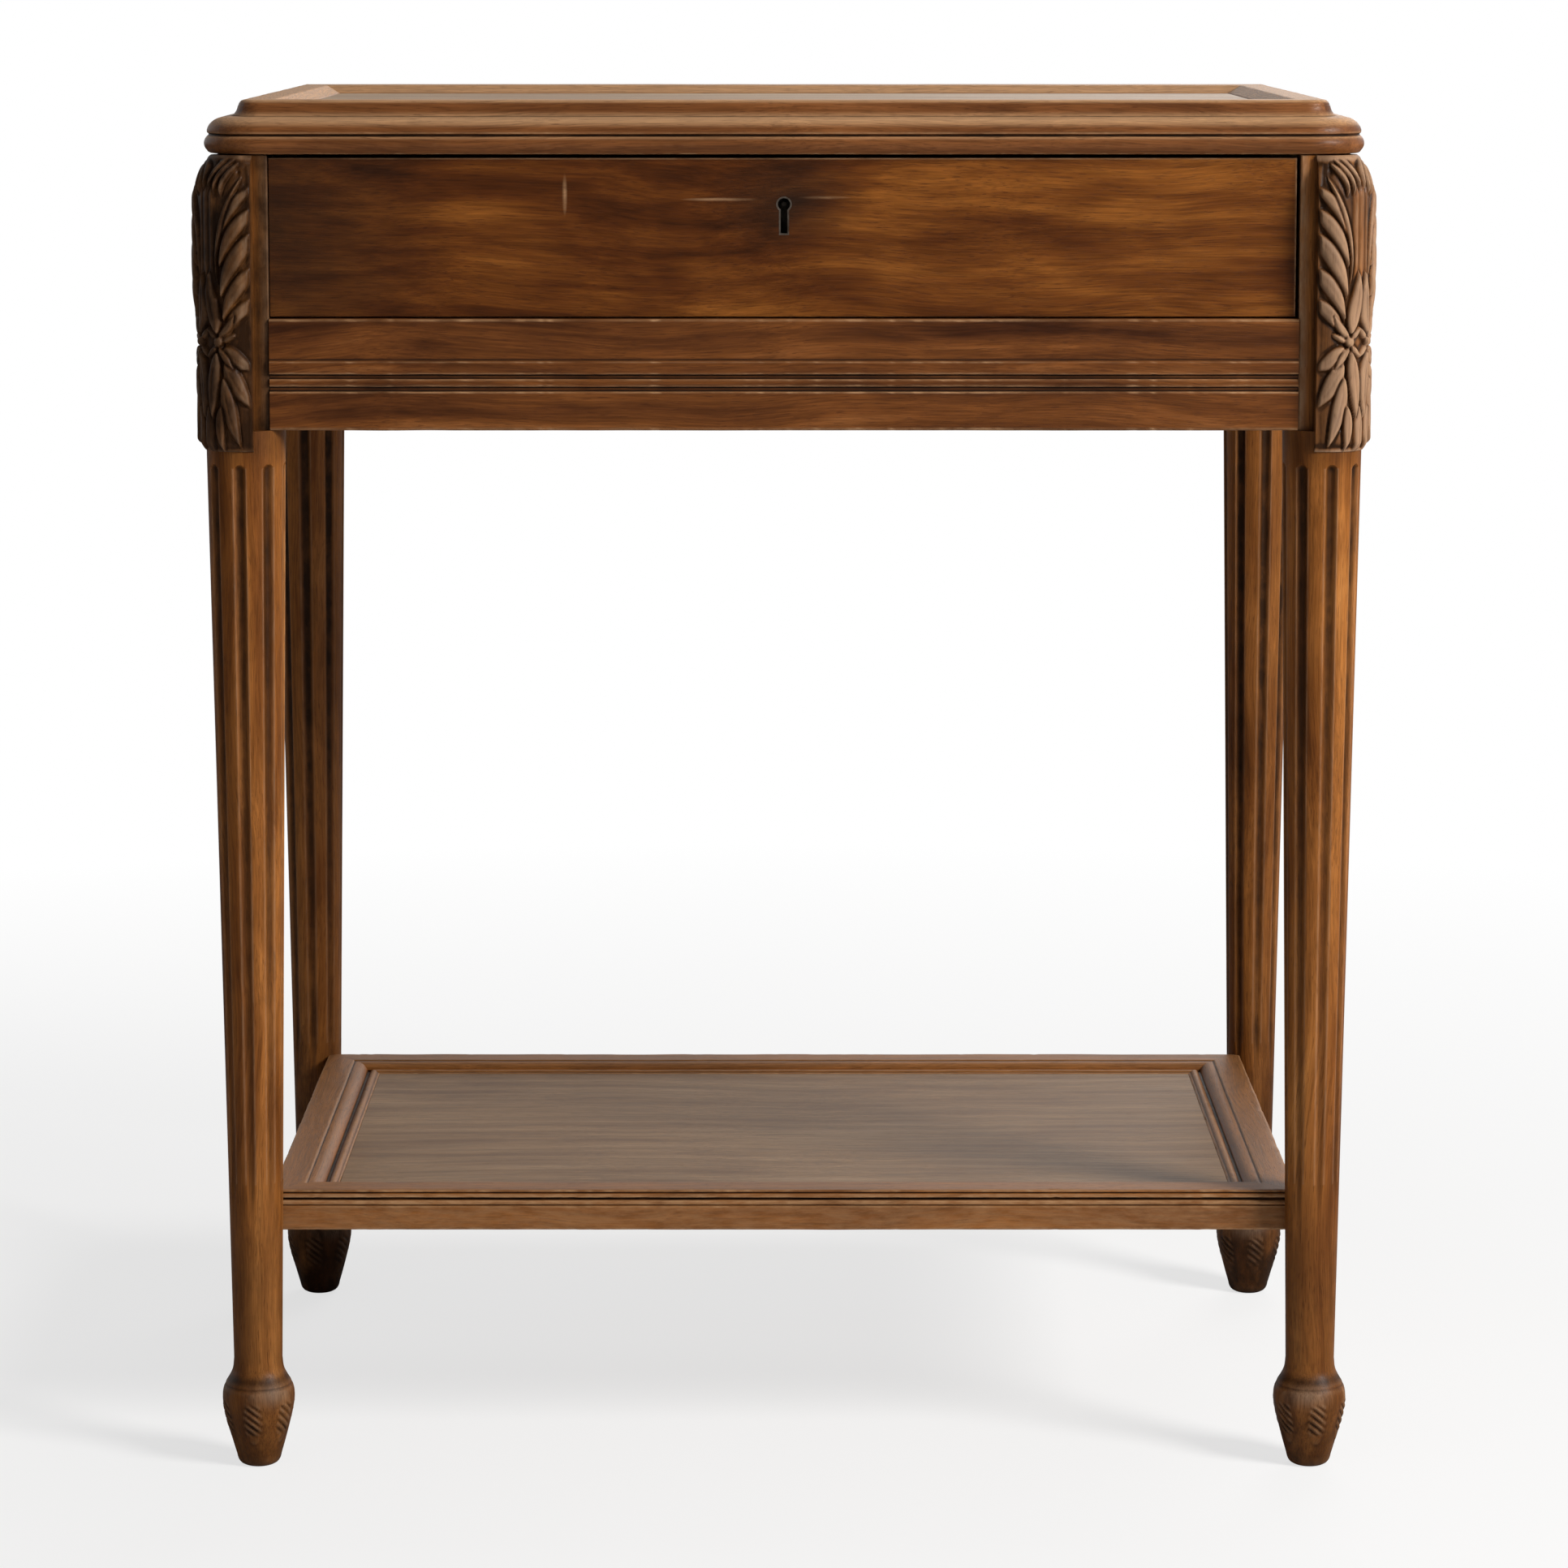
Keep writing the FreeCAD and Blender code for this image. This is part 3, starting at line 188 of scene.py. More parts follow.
# Legs and corner posts: each is one piece of walnut, square at the top with a column left proud
# of its outer corner, and turned below to a tapering shaft and a bulb foot. The column is carved
# with an acanthus leaf over a flower, the shaft with eight flutes, the bulb with hatched ovals.
LEG_X, LEG_Y = 290.0, 182.5
CASE_TOP, CASE_BOTTOM, BLOCK_BOTTOM = 721.0, 574.0, 563.0
BLOCK_HALF = 14.5
PAST_AXIS = 6.5
COLUMN_RADIUS, TOE_DEEP, TOE_TALL = 26.3, 3.6, 6.0
SWELL, SWELL_LOW, SWELL_HIGH = 1.5, 635.0, 651.0
SHOULDER_DEEP, SHOULDER_TALL = 10.4, 23.0
ARC_COLUMNS, ARC_RADIUS = 137, 27.0
CARVED_FLOOR, RIM_FLOOR = -1.9, -2.4
FLOWER_OFF, FLOWER_Z, BOSS_RADIUS = 8.0, 622.0, 2.7
FOOT_TOP, NECK_RADIUS, SHAFT_RADIUS = 60.0, 13.3, 21.4
FLUTES, FLUTE_COLUMNS, FLUTE_ROUND = 8, 20, 3.3
FLUTE_LOW, FLUTE_HIGH, FLUTE_DEEPENS = 166.0, 552.6, 380.0
FLUTE_TURN = {-1: -5.0, 1: 9.0}
GROOVE_SHARE, LAND_SHARE = 0.55, 0.45
OVALS, OVAL_Z, OVAL_TALL, OVAL_WIDE = 6, 29.0, 15.0, 5.5
HATCH_PITCH, HATCH_SLOPE = 4.4, 0.85
# How much darker each post is painted: dirt, and on the front left post, which faces away from the
# lamp, mostly painted shade.
POST_DIRT_AND_SHADE = {(-1, -1): 0.86, (1, -1): 0.05, (-1, 1): 0.35, (1, 1): 0.20}
# How much paler each post's carving is painted: dust, and on the front right post, which faces the
# lamp, mostly a painted sheen.
POST_FADE_AND_SHEEN = {(-1, -1): 0.0, (1, -1): 0.42, (-1, 1): 0.1, (1, 1): 0.1}
# Painted shade that makes the rear legs darker than the front ones.
REAR_SHADE = {-1: 0.0, 1: 0.28}
SHARP_FROM = 32.0
GRAIN_TURNS = {"x": (0.0, 0.0, 0.0), "y": (0.0, 0.0, -math.pi / 2), "z": (0.0, math.pi / 2, 0.0)}
LEG_TONES = [(0.068, 0.019, 0.0034), (0.186, 0.060, 0.0110), (0.325, 0.119, 0.026),
             (0.490, 0.202, 0.052)]


def skin(name, grids, material, body, node):
    """A closed mesh over one or more grids, each given as (places, flip, marks). places is (rows,
    columns, 3): the columns run round the piece and meet, and the first and last rows are closed
    by fans to their middles. marks holds numbers from 0 to 1 at the same grid points."""
    points, faces, count = [], [], 0
    fields = {"wear_and_glints": [], "dirt_and_shade": [], "faded_and_sheen": []}
    for places, flip, marks in grids:
        rows, columns = places.shape[:2]
        r, c = np.meshgrid(np.arange(rows - 1), np.arange(columns), indexing="ij")
        here, side = r * columns + c, r * columns + (c + 1) % columns
        quads = np.stack([here, side, side + columns, here + columns], -1).reshape(-1, 4)
        ring, step = np.arange(columns), (np.arange(columns) + 1) % columns
        low, high = rows * columns, rows * columns + 1
        top = (rows - 1) * columns
        first = np.stack([step, ring, np.full(columns, low)], -1)
        last = np.stack([top + ring, top + step, np.full(columns, high)], -1)
        middles = [places[:1].mean(1), places[-1:].mean(1)]
        points.append(np.concatenate([places.reshape(-1, 3), *middles]))
        for some in (quads, first, last):
            faces += ((some[:, ::-1] if flip else some) + count).tolist()
        for key, values in fields.items():
            flat = np.clip(np.broadcast_to(marks.get(key, 0.0), (rows, columns)), 0, 1).ravel()
            values.append(np.concatenate([flat, flat[:1], flat[-1:]]))
        count += rows * columns + 2
    mesh = bpy.data.meshes.new(name)
    mesh.from_pydata(np.concatenate(points) * 0.001, [], faces)
    for key, values in fields.items():
        field = mesh.attributes.new(key, "FLOAT", "POINT")
        field.data.foreach_set("value", np.concatenate(values).astype(np.float32))
    mesh.polygons.foreach_set("use_smooth", np.ones(len(mesh.polygons), bool))
    mesh.set_sharp_from_angle(angle=math.radians(SHARP_FROM))
    mesh.materials.append(material)
    mesh.update()
    piece = bpy.data.objects.new(name, mesh)
    bpy.context.scene.collection.objects.link(piece)
    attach(piece, body)
    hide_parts(node)


def eased(value, start, end):
    """0 before start, 1 after end, and 3t^2 - 2t^3 between them."""
    t = np.clip((value - start) / (end - start), 0.0, 1.0)
    return t * t * (3.0 - 2.0 * t)


def through(at, knots, values):
    """A smooth curve through the knots: cubic pieces whose slope at a knot is the mean of the two
    straight slopes beside it, or zero where those change sign."""
    knots, values = np.asarray(knots, float), np.asarray(values, float)
    slope = np.diff(values) / np.diff(knots)
    inner = np.where(slope[1:] * slope[:-1] > 0, (slope[1:] + slope[:-1]) / 2, 0.0)
    tangent = np.concatenate([slope[:1], inner, slope[-1:]])
    k = np.clip(np.searchsorted(knots, at) - 1, 0, len(knots) - 2)
    wide = knots[k + 1] - knots[k]
    t = np.clip((at - knots[k]) / wide, 0, 1)
    return ((2 * t**3 - 3 * t**2 + 1) * values[k] + (t**3 - 2 * t**2 + t) * wide * tangent[k]
            + (3 * t**2 - 2 * t**3) * values[k + 1] + (t**3 - t**2) * wide * tangent[k + 1])


def ramp(tree, factor, stops):
    """A colour ramp through (place, colour) stops."""
    made = add(tree, "ShaderNodeValToRGB", {"Fac": factor})
    steps = made.color_ramp.elements
    while len(steps) < len(stops):
        steps.new(0.5)
    for step, (place, colour) in zip(steps, stops):
        step.position = place
        step.color = (*colour, 1.0)
    return made.outputs["Color"]


def noise_at(tree, place, scale, detail, rough, bend=0.0):
    """Noise over places stretched by scale, the first number along the grain."""
    laid = add(tree, "ShaderNodeMapping", {"Vector": place, "Scale": scale}).outputs[0]
    return add(tree, "ShaderNodeTexNoise", {"Vector": laid, "Scale": 1.0, "Detail": detail,
                                            "Roughness": rough, "Distortion": bend}).outputs["Fac"]


def patch(tree, place, at, size):
    """1 at a place in metres, falling to 0 at the distances size from it along X and Z."""
    off = vectors(tree, "SUBTRACT", place, (at[0], 0.0, at[1]))
    off = vectors(tree, "MULTIPLY", off, (1 / size[0], 0.0, 1 / size[1]))
    return maths(tree, "SUBTRACT", 1.0, vectors(tree, "LENGTH", off), True)


def wood(name, grain, tones, start, bands=(3.5, 80.0), band_share=0.6, cloud=(7.0, 22.0),
         spread=0.2, rough=0.40, sheen=0.28, bump=0.3, worn_and_glint=(0.37, 0.205, 0.100),
         soiled_and_shaded=(0.014, 0.006, 0.002), pale_and_sheen=(0.44, 0.285, 0.165), stains=(), scrapes_and_glints=()):
    """Varnished wood. Its tone is a blend of bands drawn out along the grain and of softer clouds,
    darkened by fibres and pores, and start moves the pattern. The fading attribute draws it to a
    pale tone and dulls it: bleaching and dust, and on some pieces a painted sheen. The wear
    attribute draws it to a worn tone: wear, and in places painted highlights. The dirt attribute
    draws it to a soiled tone: dirt in its hollows, and in places painted shade. stains add dirt,
    and scrapes add wear and painted highlights, as (place, size) patches."""
    material, tree = bare_material(name)
    real_place = add(tree, "ShaderNodeTexCoord").outputs["Object"]
    place = add(tree, "ShaderNodeMapping",
                {"Vector": real_place, "Rotation": GRAIN_TURNS[grain],
                 "Location": (start, start * 0.7, start * 1.3)}).outputs[0]
    wander = add(tree, "ShaderNodeTexNoise", {"Vector": place, "Scale": 4.0, "Detail": 2.0})
    drift = vectors(tree, "SUBTRACT", wander.outputs["Color"], (0.5, 0.5, 0.5))
    drift = vectors(tree, "MULTIPLY", drift, (0.0, 0.035, 0.035))
    place = vectors(tree, "ADD", place, drift)
    band = noise_at(tree, place, (bands[0], bands[1], bands[1]), 5.0, 0.6, 0.3)
    mist = noise_at(tree, place, (cloud[0], cloud[1], cloud[1]), 3.0, 0.5, 1.0)
    fibre = noise_at(tree, place, (22.0, 1100.0, 1100.0), 2.0, 0.6)
    pore = noise_at(tree, place, (110.0, 2400.0, 2400.0), 1.0, 0.4)
    tone = mixed(tree, band_share, mist, band)
    stops = np.linspace(0.5 - spread, 0.5 + spread, len(tones))
    colour = ramp(tree, tone, list(zip(stops, tones)))
    faded_and_sheen = add(tree, "ShaderNodeAttribute", attribute_name="faded_and_sheen").outputs["Fac"]
    colour = mixed(tree, faded_and_sheen, colour, pale_and_sheen)
    streak = ramp(tree, fibre, [(0.30, grey(0.70)), (0.70, grey(1.18))])
    colour = mixed(tree, 1.0, colour, streak, "MULTIPLY")
    pitted = ramp(tree, pore, [(0.60, grey(0.0)), (0.68, grey(1.0))])
    colour = mixed(tree, maths(tree, "MULTIPLY", pitted, 0.45), colour, tones[0])
    patchiness = noise_at(tree, place, (60.0, 90.0, 90.0), 4.0, 0.6)
    broken = ramp(tree, noise_at(tree, place, (70.0, 260.0, 260.0), 4.0, 0.65),
                  [(0.36, grey(0.4)), (0.62, grey(1.0))])
    wear_and_glints = add(tree, "ShaderNodeAttribute", attribute_name="wear_and_glints").outputs["Fac"]
    # Wear and painted highlights lighten the colour below, and dirt and painted shade darken it.
    for at, size in scrapes_and_glints:
        wear_and_glints = maths(tree, "ADD", wear_and_glints, patch(tree, real_place, at, size))
    rubbed_and_glints = maths(tree, "MULTIPLY", wear_and_glints, broken, True)
    colour = mixed(tree, rubbed_and_glints, colour, worn_and_glint)
    dirt_and_shade = add(tree, "ShaderNodeAttribute", attribute_name="dirt_and_shade").outputs["Fac"]
    for at, size in stains:
        dirt_and_shade = plus(tree, dirt_and_shade, patch(tree, real_place, at, size), 0.75)
    filled_and_shaded = maths(tree, "MULTIPLY", dirt_and_shade, maths(tree, "ADD", patchiness, 0.45), True)
    colour = mixed(tree, filled_and_shaded, colour, soiled_and_shaded)
    gloss = plus(tree, rough - 0.08, fibre, 0.16)
    gloss = plus(tree, gloss, rubbed_and_glints, 0.18)
    gloss = plus(tree, gloss, filled_and_shaded, 0.12)
    gloss = plus(tree, gloss, faded_and_sheen, 0.22)
    height = plus(tree, maths(tree, "MULTIPLY", fibre, 0.5), pitted, -0.6)
    height = plus(tree, height, mist, 1.6)
    relief = add(tree, "ShaderNodeBump", {"Height": height, "Strength": bump, "Distance": 0.0004})
    shader = add(tree, "ShaderNodeBsdfPrincipled",
                 {"Base Color": colour, "Roughness": gloss, "Normal": relief.outputs[0],
                  "Specular IOR Level": sheen, "IOR": 1.48})
    add(tree, "ShaderNodeOutputMaterial", {"Surface": shader.outputs[0]})
    return material


def column_radius(z):
    """The column's radius: a rounded toe, a straight lower part, a swell and a rounded shoulder."""
    toe = TOE_DEEP * np.clip((BLOCK_BOTTOM + TOE_TALL - z) / TOE_TALL, 0, 1) ** 2
    above = z - (CASE_TOP - SHOULDER_TALL)
    shoulder = SHOULDER_DEEP * np.clip(above / SHOULDER_TALL, 0, 1) ** 2
    return COLUMN_RADIUS - toe + SWELL * eased(z, SWELL_LOW, SWELL_HIGH) - shoulder


def lobe(height, s, z, start, end, wide, high, bend=0.0, rib=0.0):
    """Lays one leaf of the carving over a height field, from start to end in (s, z). Its middle
    line bows by bend to the left of the way, its half width is wide * sin(pi * t^0.75)^0.8, its
    section is half an ellipse, and a groove runs round it and along its rib."""
    way = np.subtract(end, start)
    long = np.hypot(*way)
    ux, uz = way / long
    t = ((s - start[0]) * ux + (z - start[1]) * uz) / long
    off = (z - start[1]) * ux - (s - start[0]) * uz - bend * 4 * t * (1 - t)
    between = (t > 0) & (t < 1)
    half = wide * np.sin(math.pi * np.clip(t, 0, 1) ** 0.75) ** 0.8 + 1e-6
    dome = high * np.sqrt(np.clip(1 - (off / half) ** 2, 0, 1))
    dome -= rib * np.exp(-(off / 0.65) ** 2) * eased(t, 0.08, 0.3) * (1 - eased(t, 0.7, 0.95))
    inside = between & (np.abs(off) < half)
    height = np.where(inside, np.maximum(height * 0.4 - 0.5, CARVED_FLOOR + dome), height)
    return height - 0.9 * np.exp(-((np.abs(off) - half) / 0.7) ** 2) * between


def carving(across, z):
    """How far the carving stands out. across is the distance round the column from its corner,
    and both sides mirror each other; s runs from the flower's middle line towards the corner.
    Folds hang down the inner strip beside a plain hollow band, the leaf's tip curls over at the
    top, and petals and fanned lobes stand round the flower."""
    s = FLOWER_OFF - np.abs(across)
    z = z + 0 * s
    band = eased(s, 0.6, 2.2) * eased(z, 636.0, 648.0) * (1 - eased(z, 702.0, 712.0))
    height = CARVED_FLOOR + band * (1.0 + 0.28 * np.cos(s * 1.7)) + 0.9 * eased(z, 714.0, 717.0)
    fanned_lobes = (((-3, 619), (-22, 607), 5.2, 2.5), ((-4, 612), (-21, 586), 5.6, 2.7),
                    ((-3, 603), (-13, 565), 5.0, 2.6), ((-1, 588), (-2, 562), 3.8, 2.3),
                    ((7.5, 588), (6, 561), 4.5, 2.4))
    for start, end, wide, high in fanned_lobes:
        height = lobe(height, s, z, start, end, wide, high, 1.5, 0.35)
    folds = (((-23, 645), (-2, 624), 4.4, 2.9, 2.0), ((-23, 662), (-3, 633), 5.0, 3.2, 3.0),
             ((-24, 681), (-2.5, 645), 5.4, 3.4, 4.0), ((-24, 694), (-1.8, 661), 4.6, 3.2, 4.5),
             ((-22, 705), (-1.2, 674), 3.8, 3.0, 4.5), ((-15, 710), (0.2, 652), 2.0, 2.4, 5.5))
    for start, end, wide, high, bend in folds:
        height = lobe(height, s, z, start, end, wide, high, bend, 0.25)
    curls = (((-13, 717), (-2.5, 699), 4.0), ((-10, 719), (1.5, 699.5), 4.5),
             ((-5.5, 720.5), (6, 702), 4.0))
    for start, end, bend in curls:
        height = lobe(height, s, z, start, end, 2.5, 3.1, bend)
    height -= 1.6 * np.exp(-(np.hypot(s + 12.6, z - 712.0) / 1.3) ** 2)
    petals = (((0, 622), (-11, 626), 2.4, 2.6, 0), ((0, 619), (-9.5, 607), 2.6, 2.7, 0),
              ((0, 624), (-10.5, 637), 2.8, 2.9, 1), ((1, 623), (9, 630), 2.3, 2.6, 0),
              ((1, 620), (9, 613), 2.3, 2.6, 0), ((0.5, 626), (5.2, 660), 5.2, 3.1, -1.5),
              ((0.8, 617), (4.5, 580), 4.8, 3.1, 1.5))
    for start, end, wide, high, bend in petals:
        height = lobe(height, s, z, start, end, wide, high, bend, 0.5)
    far = np.hypot(s, z - FLOWER_Z)
    boss = 0.3 + 1.1 * np.sqrt(np.clip(1 - (far / BOSS_RADIUS) ** 2, 0, 1))
    height = np.where(far < BOSS_RADIUS, boss, height) - 0.8 * np.exp(-((far - 3.2) / 0.5) ** 2)
    return height - 0.8 - 0.5 * eased(z, SWELL_LOW, SWELL_HIGH)


def blurred(field, reach):
    """The mean of a field over a square of grid points, reach to each side."""
    for axis in (0, 1):
        wide = np.concatenate([np.take(field, [0] * reach, axis), field,
                               np.take(field, [-1] * reach, axis)], axis)
        total = np.cumsum(wide, axis)
        size = field.shape[axis]
        later = np.take(total, np.arange(2 * reach, 2 * reach + size), axis)
        first = np.take(total, np.arange(size), axis) - np.take(wide, np.arange(size), axis)
        field = (later - first) / (2 * reach + 1)
    return field


def raised(flat, z, side_x, side_y):
    """Flat rings of points laid round a leg's axis, one at each height z."""
    flat = flat + [side_x * LEG_X, side_y * LEG_Y]
    return np.concatenate([flat, np.broadcast_to(z[:, None, None], flat.shape[:2] + (1,))], -1)


def post_grid(side_x, side_y):
    """The square block and its carved column. Round the outside, the angle runs over the column's
    arc, and the rest follows the block's flanks. Below the case these draw in behind the
    column's toe."""
    z = np.concatenate([np.linspace(BLOCK_BOTTOM, CASE_BOTTOM - 0.1, 18),
                        np.linspace(CASE_BOTTOM + 0.1, CASE_TOP - 0.8, 236),
                        [CASE_TOP - 0.2, CASE_TOP]])
    radius = column_radius(z)
    back = np.arcsin(PAST_AXIS / radius)
    t = np.linspace(0, 1, ARC_COLUMNS)
    angle = -back[:, None] + t[None] * (math.pi / 2 + 2 * back)[:, None]
    across = (angle - math.pi / 4) * ARC_RADIUS
    height = blurred(carving(across, z[:, None]), 1)
    rim = 1 - eased(np.abs(across), 25.0, 27.6)
    ends = (0.3 + 0.7 * eased(z, BLOCK_BOTTOM, 566.0)) * (1 - eased(z, 716.0, 720.5))
    height = ((height - RIM_FLOOR) * rim + RIM_FLOOR) * ends[:, None]
    arc_r = radius[:, None] + height - 0.5 * np.clip((z - 719.8) / 1.2, 0, 1)[:, None]
    arc = np.stack([arc_r * np.cos(angle), arc_r * np.sin(angle)], -1)
    half, lip, soft = BLOCK_HALF, PAST_AXIS, 0.7
    flanks = np.array([(-lip, half + 0.8), (-lip, half), (-lip - 2.5, half), (-half + soft, half),
                       (-half, half - soft), (-half, 5.0), (-half, -5.0), (-half, -half + soft),
                       (-half + soft, -half), (-5.0, -half), (5.0, -half), (half - soft, -half),
                       (half, -half + soft), (half, -lip - 2.5), (half, -lip), (half + 0.8, -lip)])
    below = (z < CASE_BOTTOM)[:, None, None]
    flat = np.where(below & (flanks < -lip), -lip + 0.04 * (flanks + lip), flanks)
    outline = np.concatenate([arc, flat], 1) * [side_x, side_y]

    local = height - blurred(height, 5)
    soil_and_shade = POST_DIRT_AND_SHADE[side_x, side_y]
    # The carving's high points are painted lighter, as wear and as a painted highlight, and its
    # hollows darker, as dirt and as painted shade.
    wear_and_glints = 0.18 + np.clip(local * 0.9, 0, 0.7) + 0.3 * np.clip(height + 1.1, 0, 1)
    dirt_and_shade = np.clip(-local * 1.7, 0, 1) + np.clip(-2.2 - height, 0, 1) * 0.6 + soil_and_shade
    # On the left posts, painted glints on the leaf tips along the column's inner edge, which faces
    # the lamp.
    if side_x < 0:
        rubbed_and_glints = np.exp(-((np.abs(across) - 23.0) / 2.4) ** 2) * np.clip(0.6 + height * 0.5, 0, 1)
        wear_and_glints = wear_and_glints + 0.5 * rubbed_and_glints
        dirt_and_shade = dirt_and_shade * (1 - 0.75 * rubbed_and_glints)
    else:
        # On the right posts, painted shade towards both edges of the column, away from the lamp.
        dirt_and_shade = dirt_and_shade + 0.4 * eased(np.abs(across), 13.0, 25.0)
    # Paler carving: dust, and on the front right post mostly a painted sheen.
    faded_and_sheen = POST_FADE_AND_SHEEN[side_x, side_y] * np.clip(height + 2.0, 0, 1)
    arrises, quirks = np.zeros(len(flanks)), np.full(len(flanks), soil_and_shade)
    # The arris beside the drawer is lighter: wear, and a painted highlight where it catches the
    # light.
    arrises[3:5] = 0.85
    arrises[-4:-2] = 0.6
    quirks[[0, 1, -2, -1]] = 0.7
    marks = {}
    for key, on_arc, on_flanks in (("wear_and_glints", wear_and_glints, arrises), ("dirt_and_shade", dirt_and_shade, quirks),
                                   ("faded_and_sheen", faded_and_sheen, 0.0)):
        on_flanks = np.broadcast_to(on_flanks, (len(z), len(flanks)))
        marks[key] = np.concatenate([on_arc, on_flanks], 1)
    return raised(outline, z, side_x, side_y), side_x * side_y < 0, marks


def shaft_grid(side_x, side_y):
    """Foot and shaft, turned together: r = r(z), less the flutes, which are round grooves that
    grow shallower towards the foot, and the hatched ovals round the bulb. The columns of the
    grid follow the grooves' edges."""
    z = np.concatenate([[0.0], np.linspace(0.25, FOOT_TOP, 80), np.linspace(64, 148, 10),
                        np.linspace(150, 170, 24), np.linspace(180, 545, 28),
                        np.linspace(547, 557, 20), np.linspace(559, CASE_BOTTOM, 5)])
    up = z[:, None]
    turned = through(np.minimum(z, FOOT_TOP),
                     [0, 0.6, 2.4, 6, 14, 24, 31, 38, 42.5, 46, 49.5, 53.5, FOOT_TOP],
                     [8.2, 9.6, 11.3, 12.4, 14.7, 17.3, 18.9, 19.8, 19.4, 18.2, 16.1, 14.2,
                      NECK_RADIUS])
    widening = (z - FOOT_TOP) * (SHAFT_RADIUS - NECK_RADIUS) / (CASE_BOTTOM - FOOT_TOP)
    radius = np.where(z < FOOT_TOP, turned, NECK_RADIUS + widening)[:, None]
    sink = 1.0 + 1.4 * np.clip((up - FLUTE_LOW) / FLUTE_DEEPENS, 0, 1)
    reach = np.sqrt(FLUTE_ROUND**2 - (FLUTE_ROUND - sink) ** 2)
    groove = (reach + 0.35) / radius
    t = np.arange(FLUTE_COLUMNS) / FLUTE_COLUMNS
    pitch = 2 * math.pi / FLUTES
    near = np.where(t < GROOVE_SHARE, (t / (GROOVE_SHARE / 2) - 1.0) * groove,
                    groove + (t - GROOVE_SHARE) / LAND_SHARE * (pitch - 2 * groove))
    start = math.radians(FLUTE_TURN[side_x])
    turns = start + np.arange(FLUTES)[None, :, None] * pitch
    angle = (turns + near[:, None, :]).reshape(len(z), -1)
    off = np.tile(near * radius, (1, FLUTES))
    off = np.minimum(np.abs(off), np.abs(off - pitch * radius))
    high, low = np.clip(up - FLUTE_HIGH, 0, None), np.clip(FLUTE_LOW - up, 0, None)
    hollow = np.sqrt(np.clip(FLUTE_ROUND**2 - off**2 - high**2, 0, None))
    depth = np.clip(hollow - (FLUTE_ROUND - sink) - 0.5 * low / 14.0, 0, None) * (up > 100)
    fluted = (up > 160) & (up < 554)
    rounding = 0.2 * np.exp(-((off - reach) / 0.4) ** 2) * fluted
    sector = 2 * math.pi / OVALS
    s = (np.mod(angle + sector / 2 - start, sector) - sector / 2) * radius
    wide = OVAL_WIDE * np.sqrt(np.clip(1 - ((up - OVAL_Z) / OVAL_TALL) ** 2, 0, 1)) + 1e-6
    inside = np.clip(1 - (np.abs(s) / wide) ** 2, 0, 1)
    hatch = np.cos((up + s * HATCH_SLOPE) * 2 * math.pi / HATCH_PITCH)
    hatch = hatch * eased(up, 18.0, 23.0) * (1 - eased(up, 35.0, 39.0))
    cut = (0.25 + 0.5 * hatch) * inside**0.7 - 0.22 * np.exp(-((up - 45.5) / 0.8) ** 2)
    r = radius - depth - rounding + cut * (up < FOOT_TOP)
    rings = np.stack([np.sin(angle), -np.cos(angle)], -1) * r[..., None]

    local = cut - blurred(cut, 3)
    wear_and_glints = 0.4 * np.exp(-((off - reach - 0.3) / 0.5) ** 2) * fluted
    wear_and_glints = wear_and_glints + np.clip(local * 3.0, 0, 0.8) + 0.35 * eased(-up, -8, -1)
    dust = 0.55 * np.exp(-((up - 43.0) / 6.0) ** 2)
    dust = dust * (0.5 + 0.5 * np.sin(3 * angle + 1.0 + side_x))
    # Darker in the flutes and hollows, and on the rear legs painted shade.
    dirt_and_shade = np.clip(depth * 0.42, 0, 0.85) + np.clip(-local * 2.0, 0, 0.7) + REAR_SHADE[side_y]
    dirt_and_shade = dirt_and_shade + 0.5 * eased(up, 546.0, 570.0) + 0.45 * (1 - eased(up, 90.0, 210.0))
    dirt_and_shade = dirt_and_shade + 0.45 * np.exp(-((up - 49.5) / 2.6) ** 2) + 0.30 * (1 - eased(up, 0, 50))
    return raised(rings, z, side_x, side_y), False, {"wear_and_glints": wear_and_glints, "dirt_and_shade": dirt_and_shade, "faded_and_sheen": dust}


LEGS = (("leg_front_left", -1, -1), ("leg_front_right", 1, -1), ("leg_rear_left", -1, 1),
        ("leg_rear_right", 1, 1))
for number, (name, side_x, side_y) in enumerate(LEGS):
    # The worn tone also colours painted highlights, the pale tone a painted sheen, and the soiled
    # tone painted shade.
    leg_wood = wood("walnut_" + name, "z", LEG_TONES, start=1.7 + number * 0.83, rough=0.33,
                    sheen=0.14, worn_and_glint=(0.37, 0.22, 0.125), pale_and_sheen=(0.37, 0.275, 0.20),
                    soiled_and_shaded=(0.024, 0.0085, 0.0018))
    skin(name + "_carved", [post_grid(side_x, side_y), shaft_grid(side_x, side_y)], leg_wood,
         "frame", name)


# Rails of the case: walnut boards tenoned into the posts. The front one stands under the drawer
# and is worked with two flat beads and two quirks; the side ones carry the same band below a
# set-back board, and the back one is plain. Their arrises are rubbed round by use.
CASE_TONES = [(0.042, 0.011, 0.002), (0.100, 0.030, 0.006), (0.158, 0.050, 0.010),
              (0.245, 0.088, 0.023)]
BAND_TOP = 634.0
FRONT_FACE, FRONT_INSIDE, FRONT_HALF = 198.5, 162.5, 275.4
SIDE_FACE, SIDE_BOARD, SIDE_INSIDE, SIDE_HALF = 306.0, 302.0, 284.0, 167.9
PLAIN_STEP = 9.0
RUB = 0.22


